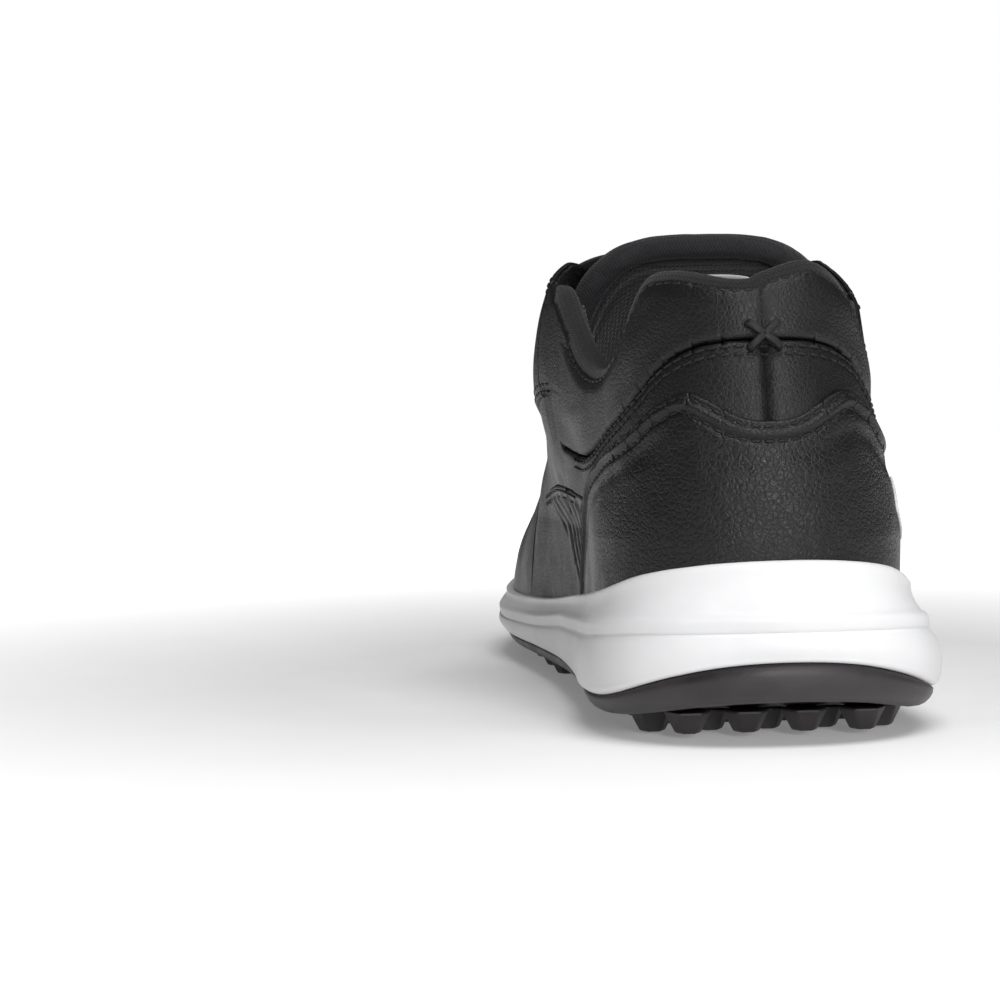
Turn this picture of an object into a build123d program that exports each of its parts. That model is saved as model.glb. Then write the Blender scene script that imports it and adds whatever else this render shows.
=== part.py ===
"""A right-foot spikeless golf shoe: moulded sole unit, laced leather upper, padded tongue and loose insole.

Row frame, millimetres: +Y towards the toe, +X towards the wearer's right (the outer side of a right shoe),
+Z up, origin on the ground at the middle of the shoe's length and width.

The upper is a stack of thin layers over one last-shaped form.  form(offset) is that form grown outwards from
the face of the main leather.  shell(inner, outer) is one layer of it, later trimmed to a panel's outline.
"""

import os
from math import cos, pi

from build123d import *

# ---------------------------------------------------------------- driving dimensions
LENGTH = 302.0  # heel to toe over the midsole
HEEL_Y = -LENGTH / 2  # rearmost point of the midsole
MIDDLE_X = 3.4  # the sole's heel centre lies this far to the inner side of the origin
UPPER_TOE = 296.5  # toe of the leather, measured from the back of the heel

GAP = 0.15  # air between neighbouring pieces, for glue and thread
LEATHER = 1.4  # main leather
OVERLAY = 1.3  # leather panels sewn on top
PADDING = 2.65  # collar foam and stiffeners under the leather
LINING = 1.15
BOARD = 1.6  # stitched bottom board of the upper
INSOLE_FOAM = 4.0
INSOLE_CLOTH = 0.8
INSOLE_PLAY = 1.6  # the loose insole stands clear of the lining
BINDING = 4.2  # height of the knitted binding along the top line
LUG = 4.0  # height of the rubber lugs under the sole

# layers as (inner face, outer face), from the main leather's face outwards
LEATHER_LAYER = (-LEATHER, 0.0)
OVERLAY_LAYER = (GAP, GAP + OVERLAY)
PADDING_LAYER = (-LEATHER - GAP - PADDING, -LEATHER - GAP)
LINING_LAYER = (PADDING_LAYER[0] - GAP - LINING, PADDING_LAYER[0] - GAP)
CAVITY = LINING_LAYER[0]  # the foot's space lies inside this offset
BINDING_LAYER = (CAVITY, 0.0)
TONGUE_OUTER = (CAVITY - 1.8, CAVITY - 0.6)
TONGUE_PAD = (TONGUE_OUTER[0] - GAP - 4.6, TONGUE_OUTER[0] - GAP)
TONGUE_INNER = (TONGUE_PAD[0] - GAP - 1.0, TONGUE_PAD[0] - GAP)
LABEL_LAYER = (TONGUE_INNER[0] - 0.5, TONGUE_INNER[0] - 0.1)
LACE_LAYER = (OVERLAY_LAYER[1] + 0.2, OVERLAY_LAYER[1] + 1.7)
EMBLEM_LAYER = (OVERLAY_LAYER[1] + 0.1, OVERLAY_LAYER[1] + 0.5)
THREAD_LAYER = (GAP, 0.9)


# ---------------------------------------------------------------- curves
def smooth(*stations):
    """A smooth function through (position, value) stations, level beyond both ends."""
    at, value = zip(*stations)
    step = [b - a for a, b in zip(at, at[1:])]
    rise = [(b - a) / h for a, b, h in zip(value, value[1:], step)]
    slope = [rise[0]]
    for r0, r1, h0, h1 in zip(rise, rise[1:], step, step[1:]):
        slope.append((r0 * h1 + r1 * h0) / (h0 + h1))
    slope.append(rise[-1])

    def value_at(x):
        x = min(max(x, at[0]), at[-1])
        i = max(k for k in range(len(step)) if at[k] <= x)
        t = (x - at[i]) / step[i]
        start = value[i] * (1 + 2 * t) * (1 - t) ** 2 + slope[i] * step[i] * t * (1 - t) ** 2
        end = value[i + 1] * t * t * (3 - 2 * t) + slope[i + 1] * step[i] * t * t * (t - 1)
        return start + end

    return value_at


def rounded(depth, radius, power):
    """Share of the full width at a depth inside a rounded end."""
    inset = min(max(1 - depth / radius, 0.0), 1.0)
    return (1 - inset**power) ** (1 / power)


# Heights are above the ground, and y runs from the back of the heel to the toe.
INNER, OUTER = -1, 1  # the two sides of the shoe
UPPER_MIDDLE = smooth((0, -3.3), (60, -3.3), (150, -1), (302, -8))
SOLE_MIDDLE = smooth((0, 0), (120, 0), (302, -8))
UPPER_EDGE = {
    INNER: smooth(
        (0, 37), (45, 37), (80, 36), (115, 36.5), (150, 40), (190, 45.5), (215, 46.5), (245, 44.5), (296, 41)
    ),
    OUTER: smooth((0, 32.5), (45, 33.2), (80, 36.5), (115, 41), (150, 47), (188, 52.5), (240, 47), (296, 34)),
}
LEAN = {  # share by which the walls splay or close at the top line
    INNER: smooth((0, -0.16), (45, -0.16), (80, 0.14), (108, 0.42), (150, 0.18), (190, 0)),
    OUTER: smooth((0, -0.22), (55, -0.22), (108, 0.1), (150, 0.04), (190, 0)),
}
# and how that share builds up with height
LEAN_RISE = smooth((45, 0), (70, 0.5), (85, 0.74), (100, 0.84), (130, 0.87))
CREST = smooth(
    (0, 190), (60, 165), (95, 137), (112, 126), (135, 110), (160, 92),
    (185, 76), (205, 67), (225, 62), (245, 59), (270, 56.5), (300, 52),
)
HEEL_BACK = smooth((0, 9), (30, 6.5), (45, 5.5), (60, 6), (75, 8), (90, 11), (105, 14.5), (135, 21))
DOME_POWER = smooth((0, 3.7), (120, 3.7), (190, 2.4), (300, 2.3))
DOME_FOOT = 15.0  # the walls of the upper are upright below this height
TOE_FOOT = 18.0  # the toe's front wall starts here
HEEL_RADIUS, HEEL_POWER = 44.0, 2.25
TOE_RADIUS, TOE_POWER = 82.0, 2.2
TOE_WALL, TOE_WALL_POWER = 42.0, 2.5

SOLE_EDGE = {
    INNER: smooth((0, 42), (45, 42), (80, 40.5), (115, 41), (160, 44.5), (212, 49.5), (245, 48), (302, 44)),
    OUTER: smooth((0, 42), (45, 42), (80, 43), (115, 46), (150, 52), (188, 56.5), (240, 51), (302, 37)),
}
SOLE_FLARE = {  # how far the sole's wall stands inside its widest line, by height
    INNER: smooth((-2, -3.6), (4, -1.8), (9, 0), (16, 0), (24, -1.4), (34, -2.6), (46, -3.2)),
    OUTER: smooth((-2, -3.6), (4, -1.8), (9, 0), (16, -0.8), (24, -3.2), (34, -5.8), (46, -6.8)),
}
SOLE_END = smooth((-2, -5), (4, -2.6), (9, -0.8), (16, 0), (24, -0.6), (34, -2), (46, -3))

FLOOR = smooth((0, 22.5), (60, 21.5), (110, 18), (160, 13.5), (215, 11.5), (260, 13), (302, 19.5))
TREAD = smooth((0, 9), (10, 6.4), (24, LUG), (60, LUG), (235, LUG), (265, 5.6), (302, 12.5))
BORDER = smooth((0, 18), (8, 14.5), (22, 9.6), (45, 7.8), (120, 7.4), (215, 6.8), (265, 9), (302, 16))
SOLE_TOP = smooth(
    (0, 40.5), (12, 38), (32, 33), (60, 30), (100, 26.5), (150, 22), (215, 20), (260, 22), (302, 28.5)
)

TOP_LINE = {
    INNER: smooth(
        (0, 107.2), (26, 107.2), (32, 105.4), (37, 100), (42, 93), (50, 87), (60, 85), (75, 89),
        (88, 99.5), (96, 106.5), (107, 111.5), (116, 118), (124, 128), (130, 140),
    ),
    OUTER: smooth(
        (0, 107.2), (18, 107), (23, 102.5), (30, 95), (40, 87.5), (56, 83.5), (75, 87),
        (88, 95), (96, 101), (107, 108), (116, 116), (124, 128), (130, 140),
    ),
}
BACK_DIP, DIP_X, DIP_WIDTH = 5.2, -7.5, 15.5  # the top line sinks between its two rear ears
SEAM_ARC = smooth((0, 89), (14, 89), (20, 86), (31, 77.6), (50, 70), (75, 63.5), (98, 66))
HEEL_PANEL_TOP = smooth(
    (0, 70.5), (7, 71), (10, 75), (14, 78), (20, 76), (27, 71.5), (50, 64.5), (70, 57), (82, 46), (91, 26),
    (98, 0),
)
SIDE_PANEL_TOP = smooth((60, 50), (88, 54), (130, 55), (160, 49), (178, 36), (192, 12), (200, 0))
COUNTER_TOP = smooth((0, 64), (35, 62), (55, 52), (72, 28), (84, 10))
PAD_FOOT = smooth((0, 65), (30, 64.5), (60, 60), (80, 60), (98, 68))
EYESTAY_FOOT = smooth((82, 76), (96, 79), (120, 77), (150, 70), (175, 63), (195, 60.5), (208, 68))
THROAT = smooth((60, 40), (96, 27), (108, 23.5), (125, 19), (150, 15), (175, 12), (190, 10))
THROAT_END = 190.0
TONGUE_WIDTH = smooth((100, 30), (112, 30.5), (125, 30), (150, 26.5), (165, 23), (180, 17.5), (188, 14))
TONGUE_BASE, TONGUE_TIP = 188.0, 108.0
BINDING_END = 96.0
VAMP_SEAM = 178.0
LINING_SEAM = 150.0
EYELETS = (122.0, 136.5, 150.5, 164.0, 177.0)
EYELET_INSET = 7.5  # eyelets stand this far outside the throat's edge


def crest(y, offset):
    """Height of the form's top line."""
    wall = rounded(UPPER_TOE + offset - y, TOE_WALL, TOE_WALL_POWER)
    return TOE_FOOT + (CREST(y) + offset - TOE_FOOT) * wall


def half_width(side, y, z, offset):
    """From the centre line to the form's face, before the heel and toe are rounded in plan."""
    rise = max(z - DOME_FOOT, 0) / (crest(y, offset) - DOME_FOOT)
    power = DOME_POWER(y)
    dome = max(1 - rise**power, 0) ** (1 / power)
    return (UPPER_EDGE[side](y) + offset) * dome * (1 + LEAN[side](y) * LEAN_RISE(z))


def front_at(z, offset):
    """How far forward the form reaches at a height."""
    low, high = 60.0, UPPER_TOE + offset
    if z <= TOE_FOOT:
        return high
    for _ in range(40):
        middle = (low + high) / 2
        if crest(middle, offset) > z:
            low = middle
        else:
            high = middle
    return low


def face_x(side, y, z, offset):
    """x of the form's face on one side, from the shoe's own centre line."""
    in_plan = rounded(y - HEEL_BACK(z) + offset, HEEL_RADIUS, HEEL_POWER)
    in_plan *= rounded(UPPER_TOE + offset - y, TOE_RADIUS, TOE_POWER)
    return UPPER_MIDDLE(y) + (side * half_width(side, y, z, offset) - UPPER_MIDDLE(y)) * in_plan


def place(x, y):
    """From the shoe's centre line and heel to the row frame."""
    return x - MIDDLE_X, y + HEEL_Y


def stations(start, end, count):
    """Positions from start to end, closer together at both ends."""
    return [start + (end - start) * (1 - cos(pi * i / count)) / 2 for i in range(count + 1)]


def outline(points):
    """A closed smooth line with evenly spaced knots, so that a loft through several of them stays light."""
    knots = [i / len(points) for i in range(len(points) + 1)]
    return Edge.make_spline([Vector(*point) for point in points], periodic=True, parameters=knots)


# ---------------------------------------------------------------- forms and regions
LEVELS = (4, 20, 32, 42, 49, 54, 58.5, 64, 71, 80, 91, 104, 118, 132)
SOLE_LEVELS = (-2, 4, 9, 16, 24, 34, 46)
POINTS = 11  # steps along each side of a level's outline
_made = {}


def form(offset):
    """The closed form of the upper, offset outwards from the main leather's face."""
    if offset not in _made:
        with BuildPart() as body:
            for z in LEVELS:
                back, front = HEEL_BACK(z) - offset, front_at(z, offset)
                ys = stations(back, front, POINTS)[1:-1]
                inner = [place(face_x(INNER, y, z, offset), y) for y in ys]
                outer = [place(face_x(OUTER, y, z, offset), y) for y in reversed(ys)]
                heel, toe = place(UPPER_MIDDLE(back), back), place(UPPER_MIDDLE(front), front)
                with BuildSketch(Plane.XY.offset(z)):
                    with BuildLine():
                        add(outline([heel, *inner, toe, *outer]))
                    make_face()
            loft()
        _made[offset] = body.part
    return _made[offset]


def shell(layer):
    """One layer of the upper, before it is cut into panels."""
    inner, outer = layer
    if layer not in _made:
        with BuildPart() as body:
            add(form(outer))
            add(form(inner), mode=Mode.SUBTRACT)
        _made[layer] = body.part
    return _made[layer]


def sole_block():
    """The sole unit as one block, before its pieces are parted."""
    with BuildPart() as body:
        for z in SOLE_LEVELS:
            back, front = -SOLE_END(z), LENGTH + SOLE_END(z)
            ys = stations(back, front, POINTS)[1:-1]
            inner, outer = [], []
            for y in ys:
                in_plan = rounded(y - back, HEEL_RADIUS + 2, HEEL_POWER)
                in_plan *= rounded(front - y, TOE_RADIUS, TOE_POWER)
                for side, line in ((INNER, inner), (OUTER, outer)):
                    wide = side * (SOLE_EDGE[side](y) + SOLE_FLARE[side](z))
                    line.append(place(SOLE_MIDDLE(y) + (wide - SOLE_MIDDLE(y)) * in_plan, y))
            with BuildSketch(Plane.XY.offset(z)):
                with BuildLine():
                    add(outline([place(0, back), *inner, place(SOLE_MIDDLE(front), front), *reversed(outer)]))
                make_face()
        loft()
    return body.part


REACH = 80.0  # half the width of a cutting region
SEAM_X = UPPER_MIDDLE(0) - MIDDLE_X  # the back seam, in the row frame


def side_range(side, gap=GAP):
    """The x range of a whole cutting region, or of its inner or outer half."""
    return (SEAM_X + gap if side == OUTER else -REACH), (SEAM_X - gap if side == INNER else REACH)


def under(curve, shift=0.0, start=-12.0, end=314.0, side=0, gap=GAP):
    """Everything below a side-view curve; side keeps only the inner or outer half."""
    x0, x1 = side_range(side, gap)
    count = int((end - start) / 5)
    ys = [start + (end - start) * i / count for i in range(count + 1)]
    line = [(y + HEEL_Y, curve(y) + shift) for y in ys]
    with BuildPart() as body:
        with BuildSketch(Plane.YZ.offset(x0)):
            with BuildLine():
                Spline(*line)
                Polyline(line[-1], (line[-1][0], -60), (line[0][0], -60), line[0])
            make_face()
        extrude(amount=x1 - x0)
    return body.part


def slab(y0=-20.0, y1=320.0, z0=-20.0, z1=160.0, side=0):
    """A box between two stations and two heights; side keeps only the inner or outer half."""
    x0, x1 = side_range(side)
    with BuildPart() as body:
        with Locations(((x0 + x1) / 2, (y0 + y1) / 2 + HEEL_Y, (z0 + z1) / 2)):
            Box(x1 - x0, y1 - y0, z1 - z0)
    return body.part


def below_top(drop):
    """Everything below the shoe's top line by at least the drop, with the dip between the rear ears."""
    depth = TOP_LINE[INNER](0) - BACK_DIP - drop
    middle = DIP_X - MIDDLE_X
    with BuildPart() as body:
        add(under(TOP_LINE[INNER], -drop, side=INNER, gap=0))
        add(under(TOP_LINE[OUTER], -drop, side=OUTER, gap=0))
        with BuildSketch(Plane.XZ.offset(-HEEL_Y + 20)):
            with BuildLine():
                dip = Spline(
                    (middle - DIP_WIDTH, depth + BACK_DIP),
                    (middle, depth),
                    (middle + DIP_WIDTH, depth + BACK_DIP),
                    tangents=((1, 0), (1, 0)),
                )
                Polyline(dip @ 1, (dip @ 1 + (0, 30)), (dip @ 0 + (0, 30)), dip @ 0)
            make_face()
        extrude(amount=-52, mode=Mode.SUBTRACT)
    return body.part


def plan_column(width, start, end, z0=50.0):
    """An upright column over a strip of the centre line, width(y) wide to each side, rounded at its front."""
    ys = [start + (end - 6 - start) * i / 10 for i in range(11)]
    left = [place(UPPER_MIDDLE(y) - width(y), y) for y in ys]
    right = [place(UPPER_MIDDLE(y) + width(y), y) for y in reversed(ys)]
    with BuildPart() as body:
        with BuildSketch(Plane.XY.offset(z0)):
            with BuildLine():
                Spline(*left, place(UPPER_MIDDLE(end), end), *right)
                Line(right[-1], left[0])
            make_face()
        extrude(amount=110)
    return body.part


def cut(layer, *keep, minus=()):
    """A layer kept only inside every region given, less the others."""
    with BuildPart() as body:
        add(shell(layer))
        for region in keep:
            add(region, mode=Mode.INTERSECT)
        for region in minus:
            add(region, mode=Mode.SUBTRACT)
    return body.part


throat = plan_column(THROAT, 60.0, THROAT_END)
eyelet_centres = [
    (side, UPPER_MIDDLE(y) + side * (THROAT(y) + EYELET_INSET), y) for side in (INNER, OUTER) for y in EYELETS
]
with BuildPart() as eyelets:
    with BuildSketch(Plane.XY.offset(55)):
        with Locations(*[place(x, y) for _, x, y in eyelet_centres]):
            Circle(2.0)
    extrude(amount=90)

top = below_top(0.0)
panel_top = below_top(BINDING + GAP)
on_floor = under(FLOOR)
ahead_of_binding = slab(y0=BINDING_END + GAP)

# ---------------------------------------------------------------- sole unit
block = sole_block()

with BuildPart() as midsole:
    add(block)
    add(under(SOLE_TOP), mode=Mode.INTERSECT)
    add(under(BORDER, GAP), mode=Mode.SUBTRACT)
    with BuildPart(mode=Mode.PRIVATE) as cup:
        add(form(OVERLAY_LAYER[1] + GAP))
        add(slab(y1=200), mode=Mode.INTERSECT)
        add(form(GAP))
        add(under(FLOOR, -GAP), mode=Mode.SUBTRACT)
    add(cup.part, mode=Mode.SUBTRACT)

LUG_PITCH_X, LUG_PITCH_Y, LUG_RADIUS = 13.5, 11.5, 4.3
with BuildPart() as outsole:
    add(block)
    add(under(BORDER), mode=Mode.INTERSECT)
    add(under(TREAD), mode=Mode.SUBTRACT)
    row = 0
    y = 22.0
    while y < 292:
        row += 1
        for column in range(-5, 6):
            x = SOLE_MIDDLE(y) + (column + 0.5 * (row % 2)) * LUG_PITCH_X
            side = INNER if x < SOLE_MIDDLE(y) else OUTER
            ends = rounded(y + 4, HEEL_RADIUS, HEEL_POWER) * rounded(LENGTH + 4 - y, TOE_RADIUS, TOE_POWER)
            room = SOLE_MIDDLE(y) + (side * (SOLE_EDGE[side](y) - 9.5) - SOLE_MIDDLE(y)) * ends
            if abs(x) < abs(room) and not (100 < y < 150 and abs(x) < 20):
                with BuildSketch(Plane.XY.offset(TREAD(y) + 1.2)):
                    with Locations(place(x, y)):
                        RegularPolygon(LUG_RADIUS, 6)
                extrude(amount=-(LUG + 1.2), taper=14)
        y += LUG_PITCH_Y

with BuildPart() as strobel_board:
    add(form(CAVITY - GAP))
    add(under(FLOOR, BOARD), mode=Mode.INTERSECT)
    add(on_floor, mode=Mode.SUBTRACT)

INSOLE_BASE = BOARD + GAP
with BuildPart() as insole_foam:
    add(form(CAVITY - INSOLE_PLAY))
    add(under(FLOOR, INSOLE_BASE + INSOLE_FOAM), mode=Mode.INTERSECT)
    add(under(FLOOR, INSOLE_BASE), mode=Mode.SUBTRACT)

CLOTH_BASE = INSOLE_BASE + INSOLE_FOAM + 0.1
with BuildPart() as insole_cloth:
    add(form(CAVITY - INSOLE_PLAY))
    add(under(FLOOR, CLOTH_BASE + INSOLE_CLOTH), mode=Mode.INTERSECT)
    add(under(FLOOR, CLOTH_BASE), mode=Mode.SUBTRACT)

# ---------------------------------------------------------------- linings and stiffeners
with BuildPart() as collar_lining:
    behind = slab(y1=BINDING_END)
    add(cut(LINING_LAYER, panel_top, behind, minus=[on_floor]))
    add(cut(LINING_LAYER, top, slab(y0=BINDING_END, y1=LINING_SEAM), minus=[on_floor, throat, eyelets.part]))

with BuildPart() as vamp_lining:
    add(cut(LINING_LAYER, slab(y0=LINING_SEAM + GAP), minus=[on_floor, throat, eyelets.part]))

with BuildPart() as heel_counter:
    add(cut(PADDING_LAYER, under(COUNTER_TOP), slab(y1=84), minus=[on_floor]))

with BuildPart() as collar_foam:
    add(cut(PADDING_LAYER, panel_top, slab(y1=BINDING_END), minus=[under(PAD_FOOT)]))

with BuildPart() as toe_puff:
    add(cut(PADDING_LAYER, slab(y0=254), minus=[on_floor]))

eyestay_cuts = [under(EYESTAY_FOOT, 2.0), throat, eyelets.part]
with BuildPart() as eyestay_backing_inner:
    add(cut(PADDING_LAYER, top, ahead_of_binding, slab(y1=198, side=INNER), minus=eyestay_cuts))
with BuildPart() as eyestay_backing_outer:
    add(cut(PADDING_LAYER, top, ahead_of_binding, slab(y1=198, side=OUTER), minus=eyestay_cuts))

# ---------------------------------------------------------------- main leather
with BuildPart() as vamp:
    add(cut(LEATHER_LAYER, slab(y0=VAMP_SEAM + GAP), minus=[on_floor, throat, eyelets.part]))

below_arc = under(SEAM_ARC, -GAP)
quarters = {}
for side in (INNER, OUTER):
    with BuildPart() as quarter:
        half = slab(y1=VAMP_SEAM, side=side)
        add(cut(LEATHER_LAYER, below_arc, half, slab(y1=BINDING_END), minus=[on_floor]))
        add(cut(LEATHER_LAYER, top, half, slab(y0=BINDING_END), minus=[on_floor, throat, eyelets.part]))
    quarters[side] = quarter
quarter_inner, quarter_outer = quarters[INNER], quarters[OUTER]

with BuildPart() as collar_panel_inner:
    add(cut(LEATHER_LAYER, panel_top, slab(y1=BINDING_END - GAP, side=INNER), minus=[under(SEAM_ARC)]))
with BuildPart() as collar_panel_outer:
    add(cut(LEATHER_LAYER, panel_top, slab(y1=BINDING_END - GAP, side=OUTER), minus=[under(SEAM_ARC)]))

with BuildPart() as collar_binding:
    add(cut(BINDING_LAYER, top, slab(y1=BINDING_END - GAP), minus=[below_top(BINDING)]))

# ---------------------------------------------------------------- panels sewn on top
with BuildPart() as heel_panel:
    add(cut(OVERLAY_LAYER, under(HEEL_PANEL_TOP), slab(y1=98), minus=[on_floor]))

ahead_of_heel_panel = under(lambda y: HEEL_PANEL_TOP(y - 0.8) + 0.4)
side_panel_cuts = [on_floor, ahead_of_heel_panel]
with BuildPart() as side_panel_inner:
    add(cut(OVERLAY_LAYER, under(SIDE_PANEL_TOP), slab(y0=62, y1=196, side=INNER), minus=side_panel_cuts))
with BuildPart() as side_panel_outer:
    add(cut(OVERLAY_LAYER, under(SIDE_PANEL_TOP), slab(y0=62, y1=196, side=OUTER), minus=side_panel_cuts))

stay_cuts = [under(EYESTAY_FOOT), throat, eyelets.part]
with BuildPart() as eyestay_inner:
    add(cut(OVERLAY_LAYER, top, slab(y0=82, side=INNER), minus=stay_cuts))
with BuildPart() as eyestay_outer:
    add(cut(OVERLAY_LAYER, top, slab(y0=82, side=OUTER), minus=stay_cuts))

# ---------------------------------------------------------------- tongue
RIM = 4.5  # width of the roll round the tongue's tip
tongue_column = plan_column(TONGUE_WIDTH, TONGUE_TIP, TONGUE_BASE, z0=40.0)
tongue_field = slab(y0=TONGUE_TIP + RIM + GAP)
with BuildPart() as tongue_outer:
    add(cut(TONGUE_OUTER, tongue_column, tongue_field, slab(z0=60)))
with BuildPart() as tongue_foam:
    add(cut(TONGUE_PAD, tongue_column, tongue_field, slab(z0=55)))
with BuildPart() as tongue_lining:
    add(cut(TONGUE_INNER, tongue_column, tongue_field, slab(z0=50)))
with BuildPart() as tongue_rim:
    add(cut((TONGUE_INNER[0], TONGUE_OUTER[1]), tongue_column, slab(y1=TONGUE_TIP + RIM, z0=75)))

with BuildPart() as tongue_label:
    with BuildPart(mode=Mode.PRIVATE) as label_field:
        with Locations((SEAM_X + 3.5, 116.0 + HEEL_Y, 110)):
            Box(26, 9, 60)
    add(cut(LABEL_LAYER, label_field.part))

# ---------------------------------------------------------------- lace, stitches and emblem
LACE_WIDTH = 5.6
with BuildPart() as lace_field:
    with BuildSketch(Plane.XY.offset(55)):
        for low, high in zip(EYELETS[1:], EYELETS):
            for side in (INNER, OUTER):
                start = place(UPPER_MIDDLE(low) + side * (THROAT(low) + EYELET_INSET), low)
                end = place(UPPER_MIDDLE(high) - side * (THROAT(high) + EYELET_INSET), high)
                run = Edge.make_line(start, end)
                with Locations(run @ 0.5):
                    SlotCenterToCenter(run.length, LACE_WIDTH, rotation=run.tangent_angle_at(0))
        last = EYELETS[-1]
        with Locations(place(UPPER_MIDDLE(last), last)):
            SlotCenterToCenter(2 * (THROAT(last) + EYELET_INSET), LACE_WIDTH)
    extrude(amount=90)
with BuildPart() as lace:
    add(cut(LACE_LAYER, lace_field.part))

CROSS_Z, CROSS_SIZE = 92.5, 8.5
with BuildPart() as cross_field:
    with BuildSketch(Plane.XZ.offset(-HEEL_Y + 20)):
        with Locations((SEAM_X, CROSS_Z)):
            SlotCenterToCenter(CROSS_SIZE, 1.3, rotation=45)
            SlotCenterToCenter(CROSS_SIZE, 1.3, rotation=-45)
    extrude(amount=-50)
with BuildPart() as cross_stitch:
    add(cut(THREAD_LAYER, cross_field.part))

EMBLEM_Y, EMBLEM_Z = 40.0, 52.0
with BuildPart() as emblem_field:
    with BuildSketch(Plane.YZ):
        with Locations((EMBLEM_Y + HEEL_Y, EMBLEM_Z)):
            Polygon((-9, 0), (0, -7.5), (9, 0), (0, 7.5))
            Polygon((-7, 0), (0, -5.8), (7, 0), (0, 5.8), mode=Mode.SUBTRACT)
    extrude(amount=60)
with BuildPart() as heel_emblem:
    add(cut(EMBLEM_LAYER, emblem_field.part))

# ---------------------------------------------------------------- export
nodes = {
    "midsole": midsole,
    "outsole": outsole,
    "strobel_board": strobel_board,
    "insole_foam": insole_foam,
    "insole_cloth": insole_cloth,
    "collar_lining": collar_lining,
    "vamp_lining": vamp_lining,
    "heel_counter": heel_counter,
    "collar_foam": collar_foam,
    "toe_puff": toe_puff,
    "eyestay_backing_inner": eyestay_backing_inner,
    "eyestay_backing_outer": eyestay_backing_outer,
    "vamp": vamp,
    "quarter_inner": quarter_inner,
    "quarter_outer": quarter_outer,
    "collar_panel_inner": collar_panel_inner,
    "collar_panel_outer": collar_panel_outer,
    "collar_binding": collar_binding,
    "heel_panel": heel_panel,
    "side_panel_inner": side_panel_inner,
    "side_panel_outer": side_panel_outer,
    "eyestay_inner": eyestay_inner,
    "eyestay_outer": eyestay_outer,
    "tongue_outer": tongue_outer,
    "tongue_foam": tongue_foam,
    "tongue_lining": tongue_lining,
    "tongue_rim": tongue_rim,
    "tongue_label": tongue_label,
    "lace": lace,
    "cross_stitch": cross_stitch,
    "heel_emblem": heel_emblem,
}
os.makedirs("parts", exist_ok=True)
for name, node in nodes.items():
    node.part.label = name
    export_step(node.part, f"parts/{name}.step")
    print(name, len(node.part.solids()), round(node.part.volume))
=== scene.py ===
"""A right-foot spikeless golf shoe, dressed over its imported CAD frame.

The file follows the shoe piece by piece: sole unit, leather panels and the band at their top, lining, insole
and stiffening, tongue, lace, then thread and print.  Metres in the scene; the shoe's own sizes are in millimetres,
with y from the back of the heel towards the toe and x outwards from the middle of the heel's sole.
"""

import math

import bmesh
import bpy
import numpy as np
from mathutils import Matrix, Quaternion, Vector


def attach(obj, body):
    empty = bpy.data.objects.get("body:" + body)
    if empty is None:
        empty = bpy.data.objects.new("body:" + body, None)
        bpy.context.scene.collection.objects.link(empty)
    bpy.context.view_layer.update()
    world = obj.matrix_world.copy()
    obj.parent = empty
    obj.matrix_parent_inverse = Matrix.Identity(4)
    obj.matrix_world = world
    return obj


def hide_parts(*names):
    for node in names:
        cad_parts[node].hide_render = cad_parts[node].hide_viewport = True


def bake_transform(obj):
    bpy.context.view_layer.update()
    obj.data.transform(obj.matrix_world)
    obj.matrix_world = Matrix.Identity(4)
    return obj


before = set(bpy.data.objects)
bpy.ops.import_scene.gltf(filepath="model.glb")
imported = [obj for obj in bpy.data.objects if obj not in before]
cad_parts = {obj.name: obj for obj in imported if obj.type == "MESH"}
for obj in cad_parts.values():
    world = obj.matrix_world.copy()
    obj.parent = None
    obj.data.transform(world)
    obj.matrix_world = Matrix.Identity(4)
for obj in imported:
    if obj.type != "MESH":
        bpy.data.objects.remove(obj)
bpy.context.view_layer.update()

# ---------------------------------------------------------------- midsole
# White foam moulded in one piece, glued under the upper as a shallow cup.  Its wall flares to a lip at the
# bottom, wider on the outer side, with a stepped rib moulded round it below the top edge.
LENGTH, MIDDLE_X = 302.0, 3.4
INNER, OUTER = -1, 1


def smooth(*stations):
    """A smooth curve through (position, value) stations, level beyond both ends."""
    at, value = np.array(stations, float).T
    step, rise = np.diff(at), np.diff(value) / np.diff(at)
    inner = (rise[:-1] * step[1:] + rise[1:] * step[:-1]) / (step[:-1] + step[1:])
    slope = np.r_[rise[0], inner, rise[-1]]

    def value_at(x):
        x = np.clip(x, at[0], at[-1])
        i = np.clip(np.searchsorted(at, x, side="right") - 1, 0, len(step) - 1)
        t, h = (x - at[i]) / step[i], step[i]
        start = value[i] * (1 + 2 * t) * (1 - t) ** 2 + slope[i] * h * t * (1 - t) ** 2
        return start + value[i + 1] * t * t * (3 - 2 * t) + slope[i + 1] * h * t * t * (t - 1)

    return value_at


def rounded(depth, radius, power):
    """How full a rounded end is at a depth in from its tip, from 0 there to 1 at the radius."""
    inset = np.clip(1 - depth / radius, 0, 1)
    return (1 - inset**power) ** (1 / power)


def new_mesh(name, verts, faces, materials, merge=0.0):
    """A piece in the scene from millimetre points in the shoe's own sizes."""
    verts = np.asarray(verts, float)
    place = (verts - (MIDDLE_X, LENGTH / 2, 0)) * 0.001
    mesh = bpy.data.meshes.new(name)
    mesh.from_pydata(place.tolist(), [], [tuple(int(i) for i in f) for f in faces])
    if merge:
        shape = bmesh.new()
        shape.from_mesh(mesh)
        bmesh.ops.remove_doubles(shape, verts=shape.verts, dist=merge * 0.001)
        bmesh.ops.dissolve_degenerate(shape, edges=shape.edges, dist=1e-7)
        shape.to_mesh(mesh)
        shape.free()
    mesh.validate()
    mesh.polygons.foreach_set("use_smooth", [True] * len(mesh.polygons))
    for material in materials:
        mesh.materials.append(material)
    piece = bpy.data.objects.new(name, mesh)
    bpy.context.scene.collection.objects.link(piece)
    return piece


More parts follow.
